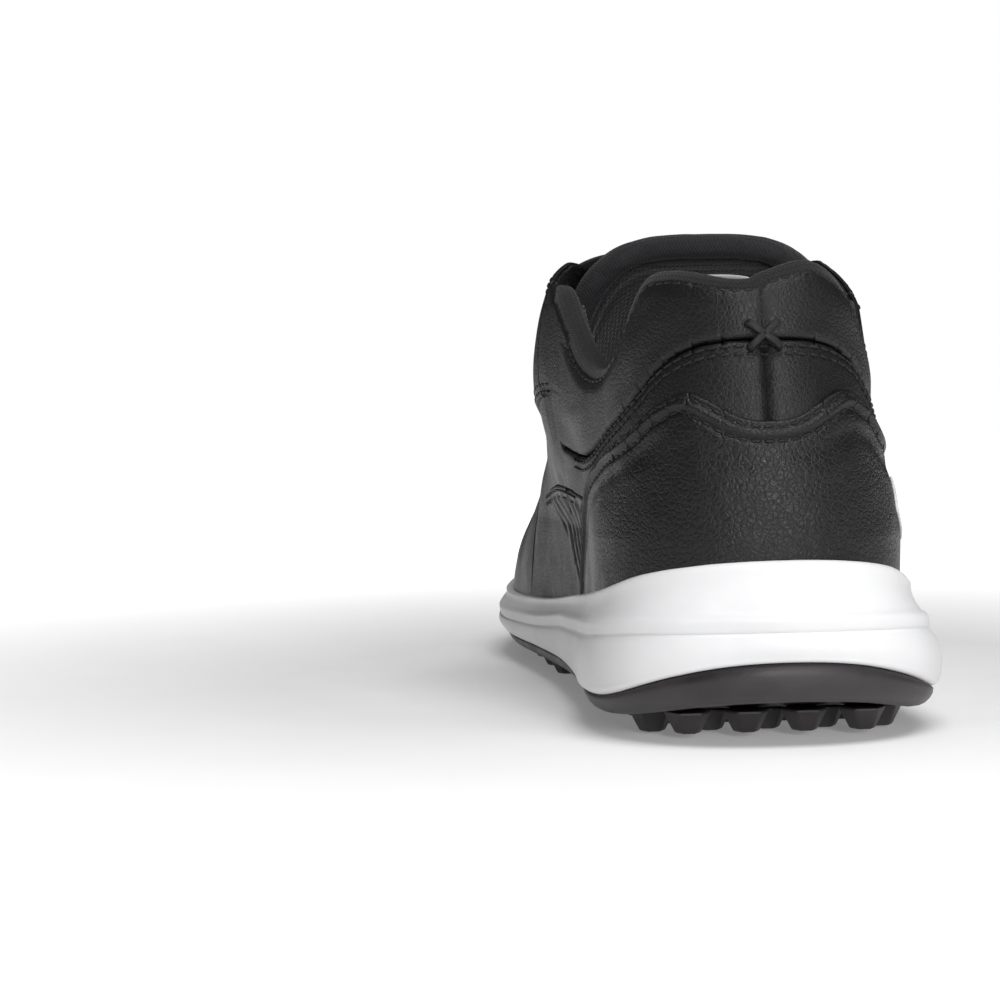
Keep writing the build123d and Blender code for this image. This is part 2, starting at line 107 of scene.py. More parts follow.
class Value:
    """A shader socket that grows Math nodes when it is used in an expression."""

    def __init__(self, finish, socket):
        self.finish, self.socket = finish, socket

    def maths(self, operation, other):
        return self.finish.node("Math", {"operation": operation}, {0: self, 1: other})

    def __add__(self, other):
        return self.maths("ADD", other)

    def __mul__(self, other):
        return self.maths("MULTIPLY", other)

    __radd__, __rmul__ = __add__, __mul__


class Finish:
    """One procedural material of the shoe."""

    def __init__(self, name, **surface):
        self.material = bpy.data.materials.new(name)
        self.material.use_nodes = True
        self.tree = self.material.node_tree
        self.shader = self.tree.nodes["Principled BSDF"]
        for socket, value in surface.items():
            self.shader.inputs[socket.replace("_", " ")].default_value = value
        self.place = self.node("TexCoord", out="Object")

    def node(self, kind, settings=None, inputs=None, out=0):
        """Adds a node: settings first, then values or links by socket name or number."""
        made = self.tree.nodes.new("ShaderNode" + kind)
        for key, value in (settings or {}).items():
            if key == "stops":
                stops = made.color_ramp.elements
                stops[0].position, stops[1].position = value[0][0], value[-1][0]
                for place, _ in value[1:-1]:
                    stops.new(place)
                for element, (_, tone) in zip(stops, value):
                    element.color = (*tone, 1) if isinstance(tone, tuple) else (tone, tone, tone, 1)
            else:
                setattr(made, key, value)
        for key, value in (inputs or {}).items():
            if isinstance(value, Value):
                self.tree.links.new(value.socket, made.inputs[key])
            else:
                made.inputs[key].default_value = value
        return Value(self, made.outputs[out])

    def lumps(self, per_metre, detail=2.0, rough=0.5):
        """Soft noise through the material, so many lumps to the metre."""
        sizes = {"Vector": self.place, "Scale": per_metre, "Detail": detail, "Roughness": rough}
        return self.node("TexNoise", {}, sizes)

    def ramp(self, value, *stops):
        return self.node("ValToRGB", {"stops": stops}, {0: value})

    def feed(self, **sockets):
        for socket, value in sockets.items():
            self.tree.links.new(value.socket, self.shader.inputs[socket.replace("_", " ")])
        return self

    def bump(self, height, depth, strength=1.0):
        """Relief of that depth in metres where height goes from 0 to 1."""
        relief = self.node("Bump", {}, {"Height": height, "Distance": depth, "Strength": strength})
        return self.feed(Normal=relief)


white_foam = Finish("white_moulded_foam", Specular_IOR_Level=0.42)
grime = white_foam.lumps(38, 4)
skin_grain = white_foam.lumps(2600, 2) * 0.5 + white_foam.lumps(260, 2) * 0.5
white_foam.feed(
    Base_Color=white_foam.ramp(grime, (0.35, (0.74, 0.74, 0.75)), (0.6, (0.80, 0.80, 0.81))),
    Roughness=white_foam.ramp(grime, (0.3, 0.50), (0.7, 0.42)),
).bump(skin_grain, 0.00012, 0.5)

sole_top = smooth(
    (0, 40.5), (12, 38), (32, 33), (60, 30), (100, 26.5), (150, 22), (215, 20), (260, 22), (302, 28.5)
)
sole_middle = smooth((0, 0), (120, 0), (302, -8))
sole_edge = {
    INNER: smooth((0, 42), (45, 42), (80, 40.5), (115, 41), (160, 44.5), (212, 49.5), (245, 48), (302, 44)),
    OUTER: smooth((0, 42), (45, 42), (80, 43), (115, 46), (150, 52), (188, 56.5), (240, 51), (302, 37)),
}
sole_flare = {
    INNER: smooth((-2, -3.6), (4, -1.8), (9, 0), (16, 0), (24, -1.4), (34, -2.6), (46, -3.2)),
    OUTER: smooth((-2, -3.6), (4, -1.8), (9, 0), (16, -0.8), (24, -3.2), (34, -5.8), (46, -6.8)),
}
sole_end = smooth((-2, -5), (4, -2.6), (9, -0.8), (16, 0), (24, -0.6), (34, -2), (46, -3))
border_line = smooth((0, 18), (8, 14.5), (22, 9.6), (45, 7.8), (120, 7.4), (215, 6.8), (265, 9), (302, 16))
tread_line = smooth((0, 9), (10, 6.4), (24, 4), (60, 4), (235, 4), (265, 5.6), (302, 12.5))
RING = 300  # steps along each side of the sole's outline


def sole_ring(z, grow):
    """The sole's outline at heights z, one for each step of the ring, grown outwards."""
    turn = np.linspace(0, math.pi, RING + 1)
    share = (1 - np.cos(turn)) / 2
    rings = []
    for k, side in enumerate((INNER, OUTER)):
        zs, g = ((v[: RING + 1] if k == 0 else np.r_[v[RING:], v[0]][::-1]) for v in (z, grow))
        back, front = -sole_end(zs) - g, LENGTH + sole_end(zs) + g
        y = back + (front - back) * share
        in_plan = rounded(y - back, 46, 2.25) * rounded(front - y, 82, 2.2)
        wide = side * (sole_edge[side](y) + sole_flare[side](zs) + g)
        rings.append(np.stack([sole_middle(y) + (wide - sole_middle(y)) * in_plan, y, zs], -1))
    return np.concatenate([rings[0], rings[1][::-1][1:-1]])


def ring_y():
    """y at each step of the sole's ring."""
    turn = np.linspace(0, math.pi, RING + 1)
    y = LENGTH * (1 - np.cos(turn)) / 2
    return np.r_[y, y[::-1][1:-1]]


def ring_faces(rows, n, start=0):
    """Quads between rings laid from the top down, each of n points, seen from outside."""
    faces = []
    for r in range(rows - 1):
        a = start + r * n
        faces += [(a + i, a + (i + 1) % n, a + n + (i + 1) % n, a + n + i) for i in range(n)]
    return faces


def cap_faces(first, n, upwards):
    """Closes a ring across, joining each step of one side to its opposite."""
    half = n // 2
    faces = []
    for i in range(half):
        a, b = first + i, first + i + 1
        c, d = first + (n - i - 1) % n, first + (n - i) % n
        quad = tuple(dict.fromkeys((a, b, c, d)))
        faces.append(quad if upwards else quad[::-1])
    return [f for f in faces if len(f) > 2]


ys = ring_y()
n_ring = len(ys)
top_edge, low_edge = sole_top(ys), border_line(ys) + 0.2
rib_height = smooth((0, 28.8), (12, 28.2), (30, 26.6), (60, 24.5), (100, 22), (302, 22))
rib_line = np.minimum(rib_height(ys), top_edge - 4.0)
rib_foot = rib_line - 3.6
rows = []
inner_drop = np.array([9.0, 4.0, 1.2, 0.35, 0.0])
for drop, grow in zip(inner_drop, (-4.6, -4.6, -4.2, -3.2, -2.0)):
    z = top_edge - drop
    rows.append(sole_ring(z, np.full(n_ring, grow)))
steps = np.r_[np.linspace(0, 1, 12) ** 1.3, 1 + np.linspace(0.12, 1, 9), 2 + np.linspace(0.04, 1, 22)]
for q in steps:
    if q <= 1:
        z = top_edge + (rib_line - top_edge) * q
        grow = -0.9 * (1 - min(q / 0.12, 1)) ** 2 - 0.55 * np.sin(math.pi * q) + 0.35 * q
    elif q <= 2:
        z = rib_line + (rib_foot - rib_line) * (q - 1)
        grow = 0.35 + 1.15 * min((q - 1) / 0.3, 1) ** 0.6 - 1.0 * max(q - 1.3, 0) ** 1.4
    else:
        t = q - 2
        z = rib_foot + (low_edge - rib_foot) * t
        belly, tuck = math.sin(math.pi * min(t * 1.15, 1)), max(t - 0.93, 0) / 0.07
        grow = 0.9 * min(t / 0.12, 1) ** 0.6 + 0.75 * belly - 0.4 * t - 1.1 * tuck
    wave = 0.22 * np.sin(ys / 9.0 + z / 4.2) * math.sin(math.pi * min(max(q, 0.0) / 3, 1))
    rows.append(sole_ring(z, np.broadcast_to(grow, ys.shape) + wave))
rows.append(sole_ring(low_edge, np.full(n_ring, -7.0)))
verts = np.concatenate(rows)
faces = ring_faces(len(rows), n_ring)
faces += cap_faces(0, n_ring, True) + cap_faces((len(rows) - 1) * n_ring, n_ring, False)
midsole = new_mesh("midsole_foam", verts, faces, [white_foam.material], merge=0.005)
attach(midsole, "shoe")
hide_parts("midsole")

# ---------------------------------------------------------------- outsole and its lugs
# Dark rubber moulded as a thin tray under the foam, curling up behind the heel and under the toe.
# Faceted lugs stand all over it except under the arch.
rubber = Finish("dark_sole_rubber", Specular_IOR_Level=0.45)
dust = rubber.lumps(70, 5)
rubber.feed(
    Base_Color=rubber.ramp(dust, (0.3, (0.024, 0.021, 0.022)), (0.7, (0.042, 0.037, 0.038))),
    Roughness=rubber.ramp(dust, (0.3, 0.38), (0.75, 0.55)),
).bump(rubber.lumps(1500, 3), 0.00012, 0.5)

rows = []
plate_top, plate_foot = border_line(ys), tread_line(ys)
plate_wall = (
    (0, -7.0), (0, -1.0), (0.08, -0.35), (0.3, -0.1), (0.55, -0.2), (0.78, -0.7), (0.92, -1.6), (1, -3.2)
)  # (share of the way down, growth of the outline)
for t, grow in plate_wall:
    rows.append(sole_ring(plate_top + (plate_foot - plate_top) * t, np.full(n_ring, grow)))
for grow in (-6, -10):
    rows.append(sole_ring(plate_foot, np.full(n_ring, float(grow))))
faces = ring_faces(len(rows), n_ring) + cap_faces(0, n_ring, True)
verts = np.concatenate(rows)
last = (len(rows) - 1) * n_ring
across = 14
half = n_ring // 2
grid = {}
extra = []
for i in range(half + 1):
    a, b = last + i, last + (n_ring - i) % n_ring
    for k in range(across + 1):
        if k in (0, across) or a == b:
            grid[i, k] = a if k < across else b
        else:
            grid[i, k] = len(verts) + len(extra)
            extra.append(verts[a] + (verts[b] - verts[a]) * k / across)
verts = np.concatenate([verts, extra])
for i in range(half):
    for k in range(across):
        quad = tuple(dict.fromkeys((grid[i, k], grid[i, k + 1], grid[i + 1, k + 1], grid[i + 1, k])))
        if len(quad) > 2:
            faces.append(quad)
outsole = new_mesh("outsole_plate", verts, faces, [rubber.material], merge=0.005)
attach(outsole, "shoe")
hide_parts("outsole")


class Tree:
    """A Geometry Nodes tree with named inputs for its sizes."""

    def __init__(self, name, **sizes):
        self.group = bpy.data.node_groups.new(name, "GeometryNodeTree")
        self.sizes = {}
        new_socket = self.group.interface.new_socket
        new_socket("Geometry", in_out="INPUT", socket_type="NodeSocketGeometry")
        new_socket("Geometry", in_out="OUTPUT", socket_type="NodeSocketGeometry")
        for size, value in sizes.items():
            item = new_socket(size.replace("_", " "), in_out="INPUT", socket_type="NodeSocketFloat")
            item.default_value = value
            self.sizes[item.identifier] = value
        self.inputs = self.group.nodes.new("NodeGroupInput").outputs

    def node(self, kind, settings=None, inputs=None):
        made = self.group.nodes.new(kind)
        for key, value in (settings or {}).items():
            setattr(made, key, value)
        for key, value in (inputs or {}).items():
            if isinstance(value, bpy.types.NodeSocket):
                self.group.links.new(value, made.inputs[key])
            else:
                made.inputs[key].default_value = value
        return made.outputs

    def finish(self, geometry, material):
        real = self.node("GeometryNodeRealizeInstances", {}, {0: geometry})[0]
        shaded = self.node("GeometryNodeSetMaterial", {}, {0: real})[0]
        shaded.node.inputs["Material"].default_value = material
        self.group.links.new(shaded, self.group.nodes.new("NodeGroupOutput").inputs[0])
        return self


def grown(name, source, tree):
    """Runs a tree on a source object and keeps the result as a plain mesh."""
    modifier = source.modifiers.new("make", "NODES")
    modifier.node_group = tree.group
    for socket, value in tree.sizes.items():
        modifier[socket] = value
    seen = source.evaluated_get(bpy.context.evaluated_depsgraph_get())
    mesh = bpy.data.meshes.new_from_object(seen)
    mesh.name = name
    bpy.data.objects.remove(source)
    mesh.polygons.foreach_set("use_smooth", [True] * len(mesh.polygons))
    piece = bpy.data.objects.new(name, mesh)
    bpy.context.scene.collection.objects.link(piece)
    return piece


lug_pitch, row_pitch = 13.5, 11.5
spots = []
row, y = 0, 22.0
while y < 292:
    row += 1
    for column in range(-5, 6):
        x = sole_middle(y) + (column + 0.5 * (row % 2)) * lug_pitch
        side = INNER if x < sole_middle(y) else OUTER
        ends = rounded(y + 4, 44, 2.25) * rounded(LENGTH + 4 - y, 82, 2.2)
        room = sole_middle(y) + (side * (sole_edge[side](y) - 9.5) - sole_middle(y)) * ends
        if abs(x) < abs(room) and not (100 < y < 150 and abs(x) < 20):
            spots.append((x, y, tread_line(y)))
    y += row_pitch
lug_points = new_mesh("lug_points", spots, [], [])
lugs_tree = Tree("lugs", Lug_radius=0.0058, Tip_radius=0.0031, Lug_height=0.0052)
cone = lugs_tree.node(
    "GeometryNodeMeshCone", {"fill_type": "NGON"},
    {"Vertices": 6, "Side Segments": 3, "Radius Top": lugs_tree.inputs["Tip radius"],
     "Radius Bottom": lugs_tree.inputs["Lug radius"], "Depth": lugs_tree.inputs["Lug height"]},
)[0]
flipped = lugs_tree.node(
    "GeometryNodeTransform", {}, {"Geometry": cone, "Translation": (0, 0, 0.0012), "Rotation": (math.pi, 0, 0)}
)[0]
set_out = lugs_tree.node(
    "GeometryNodeInstanceOnPoints", {}, {"Points": lugs_tree.inputs["Geometry"], "Instance": flipped}
)[0]
lugs = grown("sole_lugs", lug_points, lugs_tree.finish(set_out, rubber.material))
lugs.data.polygons.foreach_set("use_smooth", [False] * len(lugs.data.polygons))
soften = lugs.modifiers.new("rounded_edges", "BEVEL")
soften.width, soften.segments, soften.limit_method, soften.angle_limit = 0.0006, 2, "ANGLE", math.radians(35)
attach(lugs, "shoe")

# ---------------------------------------------------------------- vamp
# One smooth piece of leather over the toes, pulled tight and cemented under a last, the foot-shaped block
# that a shoe is built on, with soft creases where the foot bends.  Like the other panels it is full-grain
# leather tumbled into pebbles and finished black, and it lies on the last, which is a rule here.
UPPER_TOE = 296.5
upper_middle = smooth((0, -3.3), (60, -3.3), (150, -1), (302, -8))
upper_edge = {
    INNER: smooth(
        (0, 37), (45, 37), (80, 36), (115, 36.5), (150, 40), (190, 45.5), (215, 46.5), (245, 44.5), (296, 41)
    ),
    OUTER: smooth((0, 32.5), (45, 33.2), (80, 36.5), (115, 41), (150, 47), (188, 52.5), (240, 47), (296, 34)),
}
lean = {
    INNER: smooth((0, -0.16), (45, -0.16), (80, 0.14), (108, 0.42), (150, 0.18), (190, 0)),
    OUTER: smooth((0, -0.22), (55, -0.22), (108, 0.1), (150, 0.04), (190, 0)),
}
lean_rise = smooth((45, 0), (70, 0.5), (85, 0.74), (100, 0.84), (130, 0.87))
crest_line = smooth(
    (0, 190), (60, 165), (95, 137), (112, 126), (135, 110), (160, 92),
    (185, 76), (205, 67), (225, 62), (245, 59), (270, 56.5), (300, 52),
)
heel_back = smooth((0, 9), (30, 6.5), (45, 5.5), (60, 6), (75, 8), (90, 11), (105, 14.5), (135, 21))
dome_power = smooth((0, 3.7), (120, 3.7), (190, 2.4), (300, 2.3))


def crest(y, offset):
    """Height of the last's top line."""
    return 18 + (crest_line(y) + offset - 18) * rounded(UPPER_TOE + offset - y, 42, 2.5)


def face_x(side, y, z, offset):
    """x of the last's face on one side; inner and outer follow their own tables."""
    rise = np.clip((z - 15) / np.maximum(crest(y, offset) - 15, 0.1), 0, 1)
    dome = (1 - rise ** dome_power(y)) ** (1 / dome_power(y))
    wide = (upper_edge[side](y) + offset) * dome * (1 + lean[side](y) * lean_rise(z))
    in_plan = rounded(y - heel_back(z) + offset, 44, 2.25) * rounded(UPPER_TOE + offset - y, 82, 2.2)
    return upper_middle(y) + (side * wide - upper_middle(y)) * in_plan


def unit(v):
    return v / np.maximum(np.linalg.norm(v, axis=-1, keepdims=True), 1e-9)


def last_skin(offset, around, up, low=12.0, cap=131.0):
    """Points and normals of the last grown by an offset: (side, station round the sole, step up the wall)."""
    turn = np.linspace(0, 1, around)
    heel, waist = 0.19, 0.66  # shares of the way round taken by the heel's curve and by the straight side
    fan = np.clip(turn / heel, 0, 1)
    toe = np.clip((turn - waist) / (1 - waist), 0, 1)
    origin_y = 50 + 150 * np.clip((turn - heel) / (waist - heel), 0, 1) + 74 * toe**1.2
    azimuth = math.pi * (1 - fan / 2) - math.pi / 2 * toe
    skins = []
    for side in (INNER, OUTER):
        along = np.linspace(0, math.pi / 2, 220)[None, :]
        out_x, out_y = side * np.sin(azimuth)[:, None], np.cos(azimuth)[:, None]
        x0, y0 = upper_middle(origin_y)[:, None], origin_y[:, None]
        near, far = np.zeros((around, 220)), np.full((around, 220), 260.0)
        for _ in range(34):
            r = (near + far) / 2
            x, y, z = x0 + r * np.cos(along) * out_x, y0 + r * np.cos(along) * out_y, low + r * np.sin(along)
            inside = (side * (face_x(side, y, z, offset) - x) > 0) & (z < crest(y, offset))
            inside &= (y > heel_back(z) - offset) & (y < UPPER_TOE + offset)
            inside |= (r < 4) & (z < crest(y, offset))
            near, far = np.where(inside, r, near), np.where(inside, far, r)
        reach, lift = r * np.cos(along), r * np.sin(along)
        points = np.stack([x0 + reach * out_x, y0 + reach * out_y, low + lift], -1)
        rows = []
        for row in points:
            keep = row[:, 2] <= cap
            keep[:2] = True
            row = row[: np.argmin(keep)] if not keep.all() else row
            run = np.r_[0, np.cumsum(np.linalg.norm(np.diff(row, axis=0), axis=1))]
            at = np.linspace(0, run[-1], up)
            rows.append(np.stack([np.interp(at, run, row[:, k]) for k in range(3)], -1))
        skins.append(np.array(rows))
    points = np.array(skins)
    normals = unit(np.cross(np.gradient(points, axis=2), np.gradient(points, axis=1)))
    normals[1] *= -1
    mean_point, mean_normal = points.mean(0), unit(normals.sum(0))
    for edge in (np.s_[:1], np.s_[-1:], np.s_[:, -1:]):
        same = np.linalg.norm(points[0][edge] - points[1][edge], axis=-1, keepdims=True) < 0.5
        for k in (0, 1):
            points[k][edge] = np.where(same, mean_point[edge], points[k][edge])
            normals[k][edge] = np.where(same, mean_normal[edge], normals[k][edge])
    return points, normals


def surface_distance(field, points):
    """Millimetres along the skin from a field's zero line, positive where the field is."""
    ps, pm = np.gradient(points, axis=1), np.gradient(points, axis=2)
    fs, fm = np.gradient(field, axis=1), np.gradient(field, axis=2)
    g11, g12, g22 = (ps * ps).sum(-1), (ps * pm).sum(-1), (pm * pm).sum(-1)
    steep = (g22 * fs**2 - 2 * g12 * fs * fm + g11 * fm**2) / np.maximum(g11 * g22 - g12**2, 1e-6)
    return field / np.sqrt(np.maximum(steep, 0.02))


def noise(points, size, seed):
    """Soft lumps of about that size in millimetres, from -1 to 1, the same every run."""
    table = np.random.default_rng(seed).uniform(-1, 1, (32, 32, 32))
    p = points / size + seed
    i = np.floor(p).astype(int)
    f = p - i
    f = f * f * (3 - 2 * f)
    total = 0
    for a in (0, 1):
        for b in (0, 1):
            for c in (0, 1):
                near = (f[..., 0] if a else 1 - f[..., 0]) * (f[..., 1] if b else 1 - f[..., 1])
                near = near * (f[..., 2] if c else 1 - f[..., 2])
                total = total + near * table[(i[..., 0] + a) % 32, (i[..., 1] + b) % 32, (i[..., 2] + c) % 32]
    return total


def cut_skin(points, keep):
    """Triangles of the skin where keep is positive, cut cleanly along its zero line.
    Gives rows of (index, index, share) that blend grid corners into the new corners, and the triangles."""
    sides, around, up = keep.shape
    grid = np.arange(sides * around * up).reshape(sides, around, up)
    tris = []
    for side in range(sides):
        a, b = grid[side, :-1, :-1].ravel(), grid[side, 1:, :-1].ravel()
        c, d = grid[side, 1:, 1:].ravel(), grid[side, :-1, 1:].ravel()
        quads = ((a, d, c, b), (a, b, c, d))[side]
        tris += [np.stack(quads[:3], 1), np.stack((quads[0], quads[2], quads[3]), 1)]
    tris = np.concatenate(tris)
    flat = keep.ravel()
    inside = flat[tris] > 0
    count = inside.sum(1)
    blends, faces, made = [], [], {}

    def corner(i, j):
        key = (i, j) if i < j else (j, i)
        if key not in made:
            fi, fj = flat[key[0]], flat[key[1]]
            share = 0.0 if i == j else fi / (fi - fj)
            made[key] = len(blends)
            blends.append((key[0], key[1], share))
        return made[key]

    whole = tris[count == 3]
    used, index = np.unique(whole, return_inverse=True)
    for i in used:
        made[(i, i)] = len(blends)
        blends.append((i, i, 0.0))
    faces = [tuple(f) for f in index.reshape(-1, 3)]
    for tri in tris[(count == 1) | (count == 2)]:
        ring = []
        for k in range(3):
            i, j = int(tri[k]), int(tri[(k + 1) % 3])
            if flat[i] > 0:
                ring.append(corner(i, i))
            if (flat[i] > 0) != (flat[j] > 0):
                ring.append(corner(i, j))
        faces += [(ring[0], ring[k], ring[k + 1]) for k in range(1, len(ring) - 1)]
    return np.array(blends), faces


def panel(name, skin, keep, height, under, materials, corner_radius=1.1, plump=False):
    """A closed sheet cut from the skin: keep is the distance inside its outline, height its outer face and
    under its inner face, both outwards from the skin; its edges are rounded over, on both faces if plump."""
    points, normals = skin
    blends, faces = cut_skin(points, keep)
    i, j, share = blends[:, 0].astype(int), blends[:, 1].astype(int), blends[:, 2:3]

    def mix(values):
        flat = values.reshape(keep.size, -1)
        return flat[i] * (1 - share) + flat[j] * share

    edge = np.clip(mix(keep)[:, 0], 0, None)
    p, n = mix(points), unit(mix(normals))
    h = mix(np.broadcast_to(height, keep.shape))[:, 0]
    b = mix(np.broadcast_to(under, keep.shape))[:, 0]
    curl = np.sqrt(1 - (1 - np.clip(edge / corner_radius, 0, 1)) ** 2)
    h, b = (h * curl, b * curl) if plump else (b + (h - b) * curl, b)
    top, bottom = p + n * h[:, None], p + n * b[:, None]
    rim = edge < 1e-9
    below = np.where(rim, np.arange(len(p)), np.arange(len(p)) + len(p))
    faces = list(faces) + [tuple(below[list(f)][::-1]) for f in faces]
    return new_mesh(name, np.concatenate([top, bottom]), faces, materials, merge=0.02)


skin = last_skin(0.0, 400, 146)
P, N = skin
X, Y, Z = P[..., 0], P[..., 1], P[..., 2]
top_line = {
    INNER: smooth(
        (0, 107.2), (26, 107.2), (32, 105.4), (37, 100), (42, 93), (50, 87), (60, 85), (75, 89),
        (88, 99.5), (96, 106.5), (107, 111.5), (116, 118), (124, 128), (130, 140),
    ),
    OUTER: smooth(
        (0, 107.2), (18, 107), (23, 102.5), (30, 95), (40, 87.5), (56, 83.5), (75, 87),
        (88, 95), (96, 101), (107, 108), (116, 116), (124, 128), (130, 140),
    ),
}
throat_width = smooth((60, 42), (96, 39), (107, 37.5), (118, 31.5), (130, 23.5), (150, 16), (175, 12), (190, 10))


def under_top(points, drop):
    """Positive below the shoe's top line, which sinks in a shallow dip between its two rear ears."""
    x, y, z = points[..., 0], points[..., 1], points[..., 2]
    line = np.stack([top_line[INNER](y[0]), top_line[OUTER](y[1])])
    dip = 4.6 * np.cos(np.clip((x + 8.8) / 18.0, -1, 1) * math.pi / 2) ** 1.3
    return line - dip * (y < 32) - drop - z


def around_throat(points):
    """Positive outside the lacing throat."""
    across = np.abs(points[..., 0] - upper_middle(points[..., 1])) - throat_width(points[..., 1]) + 5
    ahead = points[..., 1] - 185.0
    sdf = np.minimum(np.maximum(across, ahead), 0) + np.hypot(np.maximum(across, 0), np.maximum(ahead, 0)) - 5
    low = np.interp(points[..., 1], (92, 108, 120, 190), (104, 101, 85, 55))
    return np.where((points[..., 2] > low) & (points[..., 1] > 92), sdf, 20.0)


below_top = surface_distance(under_top(P, 0), P)
off_throat = around_throat(P)
in_sole = surface_distance(sole_top(Y) - 7 - Z, P)  # positive down inside the sole's cup


def tumbled_leather(name, pebble_mm, depth, tone, shine):
    """Leather whose pebbles are about that wide, bent out of line and split by a finer grain."""
    leather = Finish(name, Specular_IOR_Level=0.34)
    drift = leather.node("TexNoise", {}, {"Vector": leather.place, "Scale": 240.0, "Detail": 2.0}, out="Color")
    bend = leather.node("VectorMath", {"operation": "SCALE"}, {0: drift, "Scale": 0.0016})
    warped = leather.node("VectorMath", {"operation": "ADD"}, {0: leather.place, 1: bend})
    cells, finer = (
        leather.node("TexVoronoi", {"feature": "DISTANCE_TO_EDGE"}, {"Vector": warped, "Scale": share / pebble_mm})
        for share in (1000, 2300)
    )
    pebbles = leather.ramp(cells, (0.0, 0.0), (0.16, 0.72), (0.42, 1.0))
    fine = leather.ramp(finer, (0.0, 0.0), (0.2, 1.0))
    broad = leather.lumps(90, 3)
    height = pebbles * 0.62 + fine * 0.2 + leather.lumps(420, 3) * 0.45
    worn = leather.lumps(34, 4) * 0.6 + pebbles * 0.4
    leather.feed(
        Base_Color=leather.ramp(worn, (0.25, tuple(c * 0.72 for c in tone)), (0.8, tone)),
        Roughness=leather.ramp(broad * 0.7 + pebbles * 0.3, (0.3, shine + 0.1), (0.8, shine - 0.05)),
    )
    return leather.bump(height, depth, 0.8)


black = (0.0070, 0.0068, 0.0074)
smooth_leather = tumbled_leather("smooth_leather", 0.9, 0.00006, black, 0.40)
creases = noise(P, 9.0, 3) * 0.16 + noise(P * (1, 1, 0.45), 4.0, 5) * 0.07
bend_lines = np.sin((Y + 0.10 * np.abs(X) ** 1.25) / 2.3 + noise(P, 14, 8) * 2.2)
bend_lines = np.exp(-(((Y - 214) / 17) ** 2)) * bend_lines
vamp_keep = np.minimum(np.minimum(surface_distance(Y - 174.0, P), off_throat), -in_sole)
vamp_face = 0.25 + creases * 0.5 + bend_lines * 0.10 * (Z > 30)
vamp = panel("vamp_leather", skin, vamp_keep, vamp_face, -1.0, [smooth_leather.material])
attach(vamp, "shoe")
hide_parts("vamp")

# ---------------------------------------------------------------- quarters
# The two sides of the shoe, of tumbled leather about 1.4 mm thick, joined down the middle of the heel by a
# closed seam whose leather puckers.  They are lasted down into the sole's cup like the vamp.
seam_arc = smooth((0, 89), (14, 89), (20, 86), (31, 77.6), (50, 70), (75, 63.5), (98, 66))
main_leather = tumbled_leather("main_leather", 1.2, 0.00013, black, 0.42)


def pair_of_panels(kind, region, face, under, leather, corner_radius, *nodes):
    """The same leather panel on both sides of the shoe; region is the distance inside its outline."""
    pair = []
    for side, label in enumerate(("inner", "outer")):
        keep = np.full(Y.shape, -5.0)
        keep[side] = region[side]
        name = f"{kind}_{label}_leather"
        pair.append(panel(name, skin, keep, face, under, [leather.material], corner_radius))
        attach(pair[-1], "shoe")
        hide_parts(*(f"{node}_{label}" for node in nodes))
    return pair


side_sign = np.array([INNER, OUTER])[:, None, None]
from_middle = side_sign * (X - upper_middle(Y))
seam_run = surface_distance(from_middle * np.where(Y < 40, 1, 0) + np.where(Y < 40, 0, 30), P)
pucker = 0.35 * np.exp(-((seam_run / 2.4) ** 2)) * (1 + 0.35 * np.sin(Z / 1.15))
back_seam = 0.85 * np.exp(-((seam_run / 0.75) ** 2)) + pucker
draped = noise(P * (1, 0.6, 1), 11.0, 11) * 0.45 + creases
under_arc = surface_distance(seam_arc(Y) - Z, P)
arc_pull = 0.4 * np.exp(-((under_arc / 1.1) ** 2)) * (Y < 97)
quarter_face = 0.4 + draped - back_seam * (Z < 90) - arc_pull
region = np.minimum(np.where(Y < 97, under_arc, below_top - 0.3), surface_distance(173.6 - Y, P))
region = np.minimum(np.minimum(region, off_throat), -in_sole)
pair_of_panels("quarter", region, quarter_face, -1.0, main_leather, 0.8, "quarter")

# ---------------------------------------------------------------- collar panels
# Soft leather over foam round the ankle, sewn to the quarters along the arc seam and caught under the band
# on the top line.  The foam makes it swell between those two seams.
arc_side = surface_distance(Z - seam_arc(Y), P)
to_band = surface_distance(under_top(P, 3.4), P)
rise = np.clip(arc_side / 12.0, 0, 1)
fill = smooth((0, 1.1), (30, 1.3), (60, 1.8), (78, 1.8), (98, 0.1))
swell = rise**2 * (3 - 2 * rise) * np.sqrt(np.clip((to_band + 1.6) / 4.0, 0.1, 1)) * fill(Y)
pulled = -0.45 * np.exp(-((arc_side / 1.1) ** 2))
collar_face = 0.45 + swell + pulled + draped * 0.8 - back_seam * 0.4
region = np.minimum(np.minimum(arc_side, to_band + 1.6), surface_distance(99.0 - Y, P))
for collar in pair_of_panels("collar", region, collar_face, -1.0, main_leather, 0.7, "collar_panel"):
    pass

# ---------------------------------------------------------------- heel panel
# A thick tumbled panel wrapped round the heel, sewn along its wavy top edge with two rows of heavy thread.
# Between the rows the leather stands up in a low roll, and under them it creases softly.
heel_panel_top = smooth(
    (0, 70.5), (7, 71), (10, 75), (14, 78), (20, 76), (27, 71.5), (50, 64.5), (70, 57), (82, 46), (91, 26), (98, 0)
)
heel_leather = tumbled_leather("heel_panel_leather", 1.35, 0.00017, black, 0.37)
heel_skin = last_skin(0.0, 760, 250)
HP = heel_skin[0]
hx, hy, hz = HP[..., 0], HP[..., 1], HP[..., 2]
panel_edge = surface_distance(heel_panel_top(hy) - hz, HP)
roll = 0.75 * np.exp(-(((panel_edge - 2.9) / 1.0) ** 2))
rows_dip = 0.50 * (np.exp(-(((panel_edge - 1.5) / 0.5) ** 2)) + np.exp(-(((panel_edge - 4.6) / 0.55) ** 2)))
slack = 0.32 * np.exp(-(((panel_edge - 8.5) / 2.2) ** 2)) * (1 + noise(HP * (0.35, 0.35, 1), 6, 21))
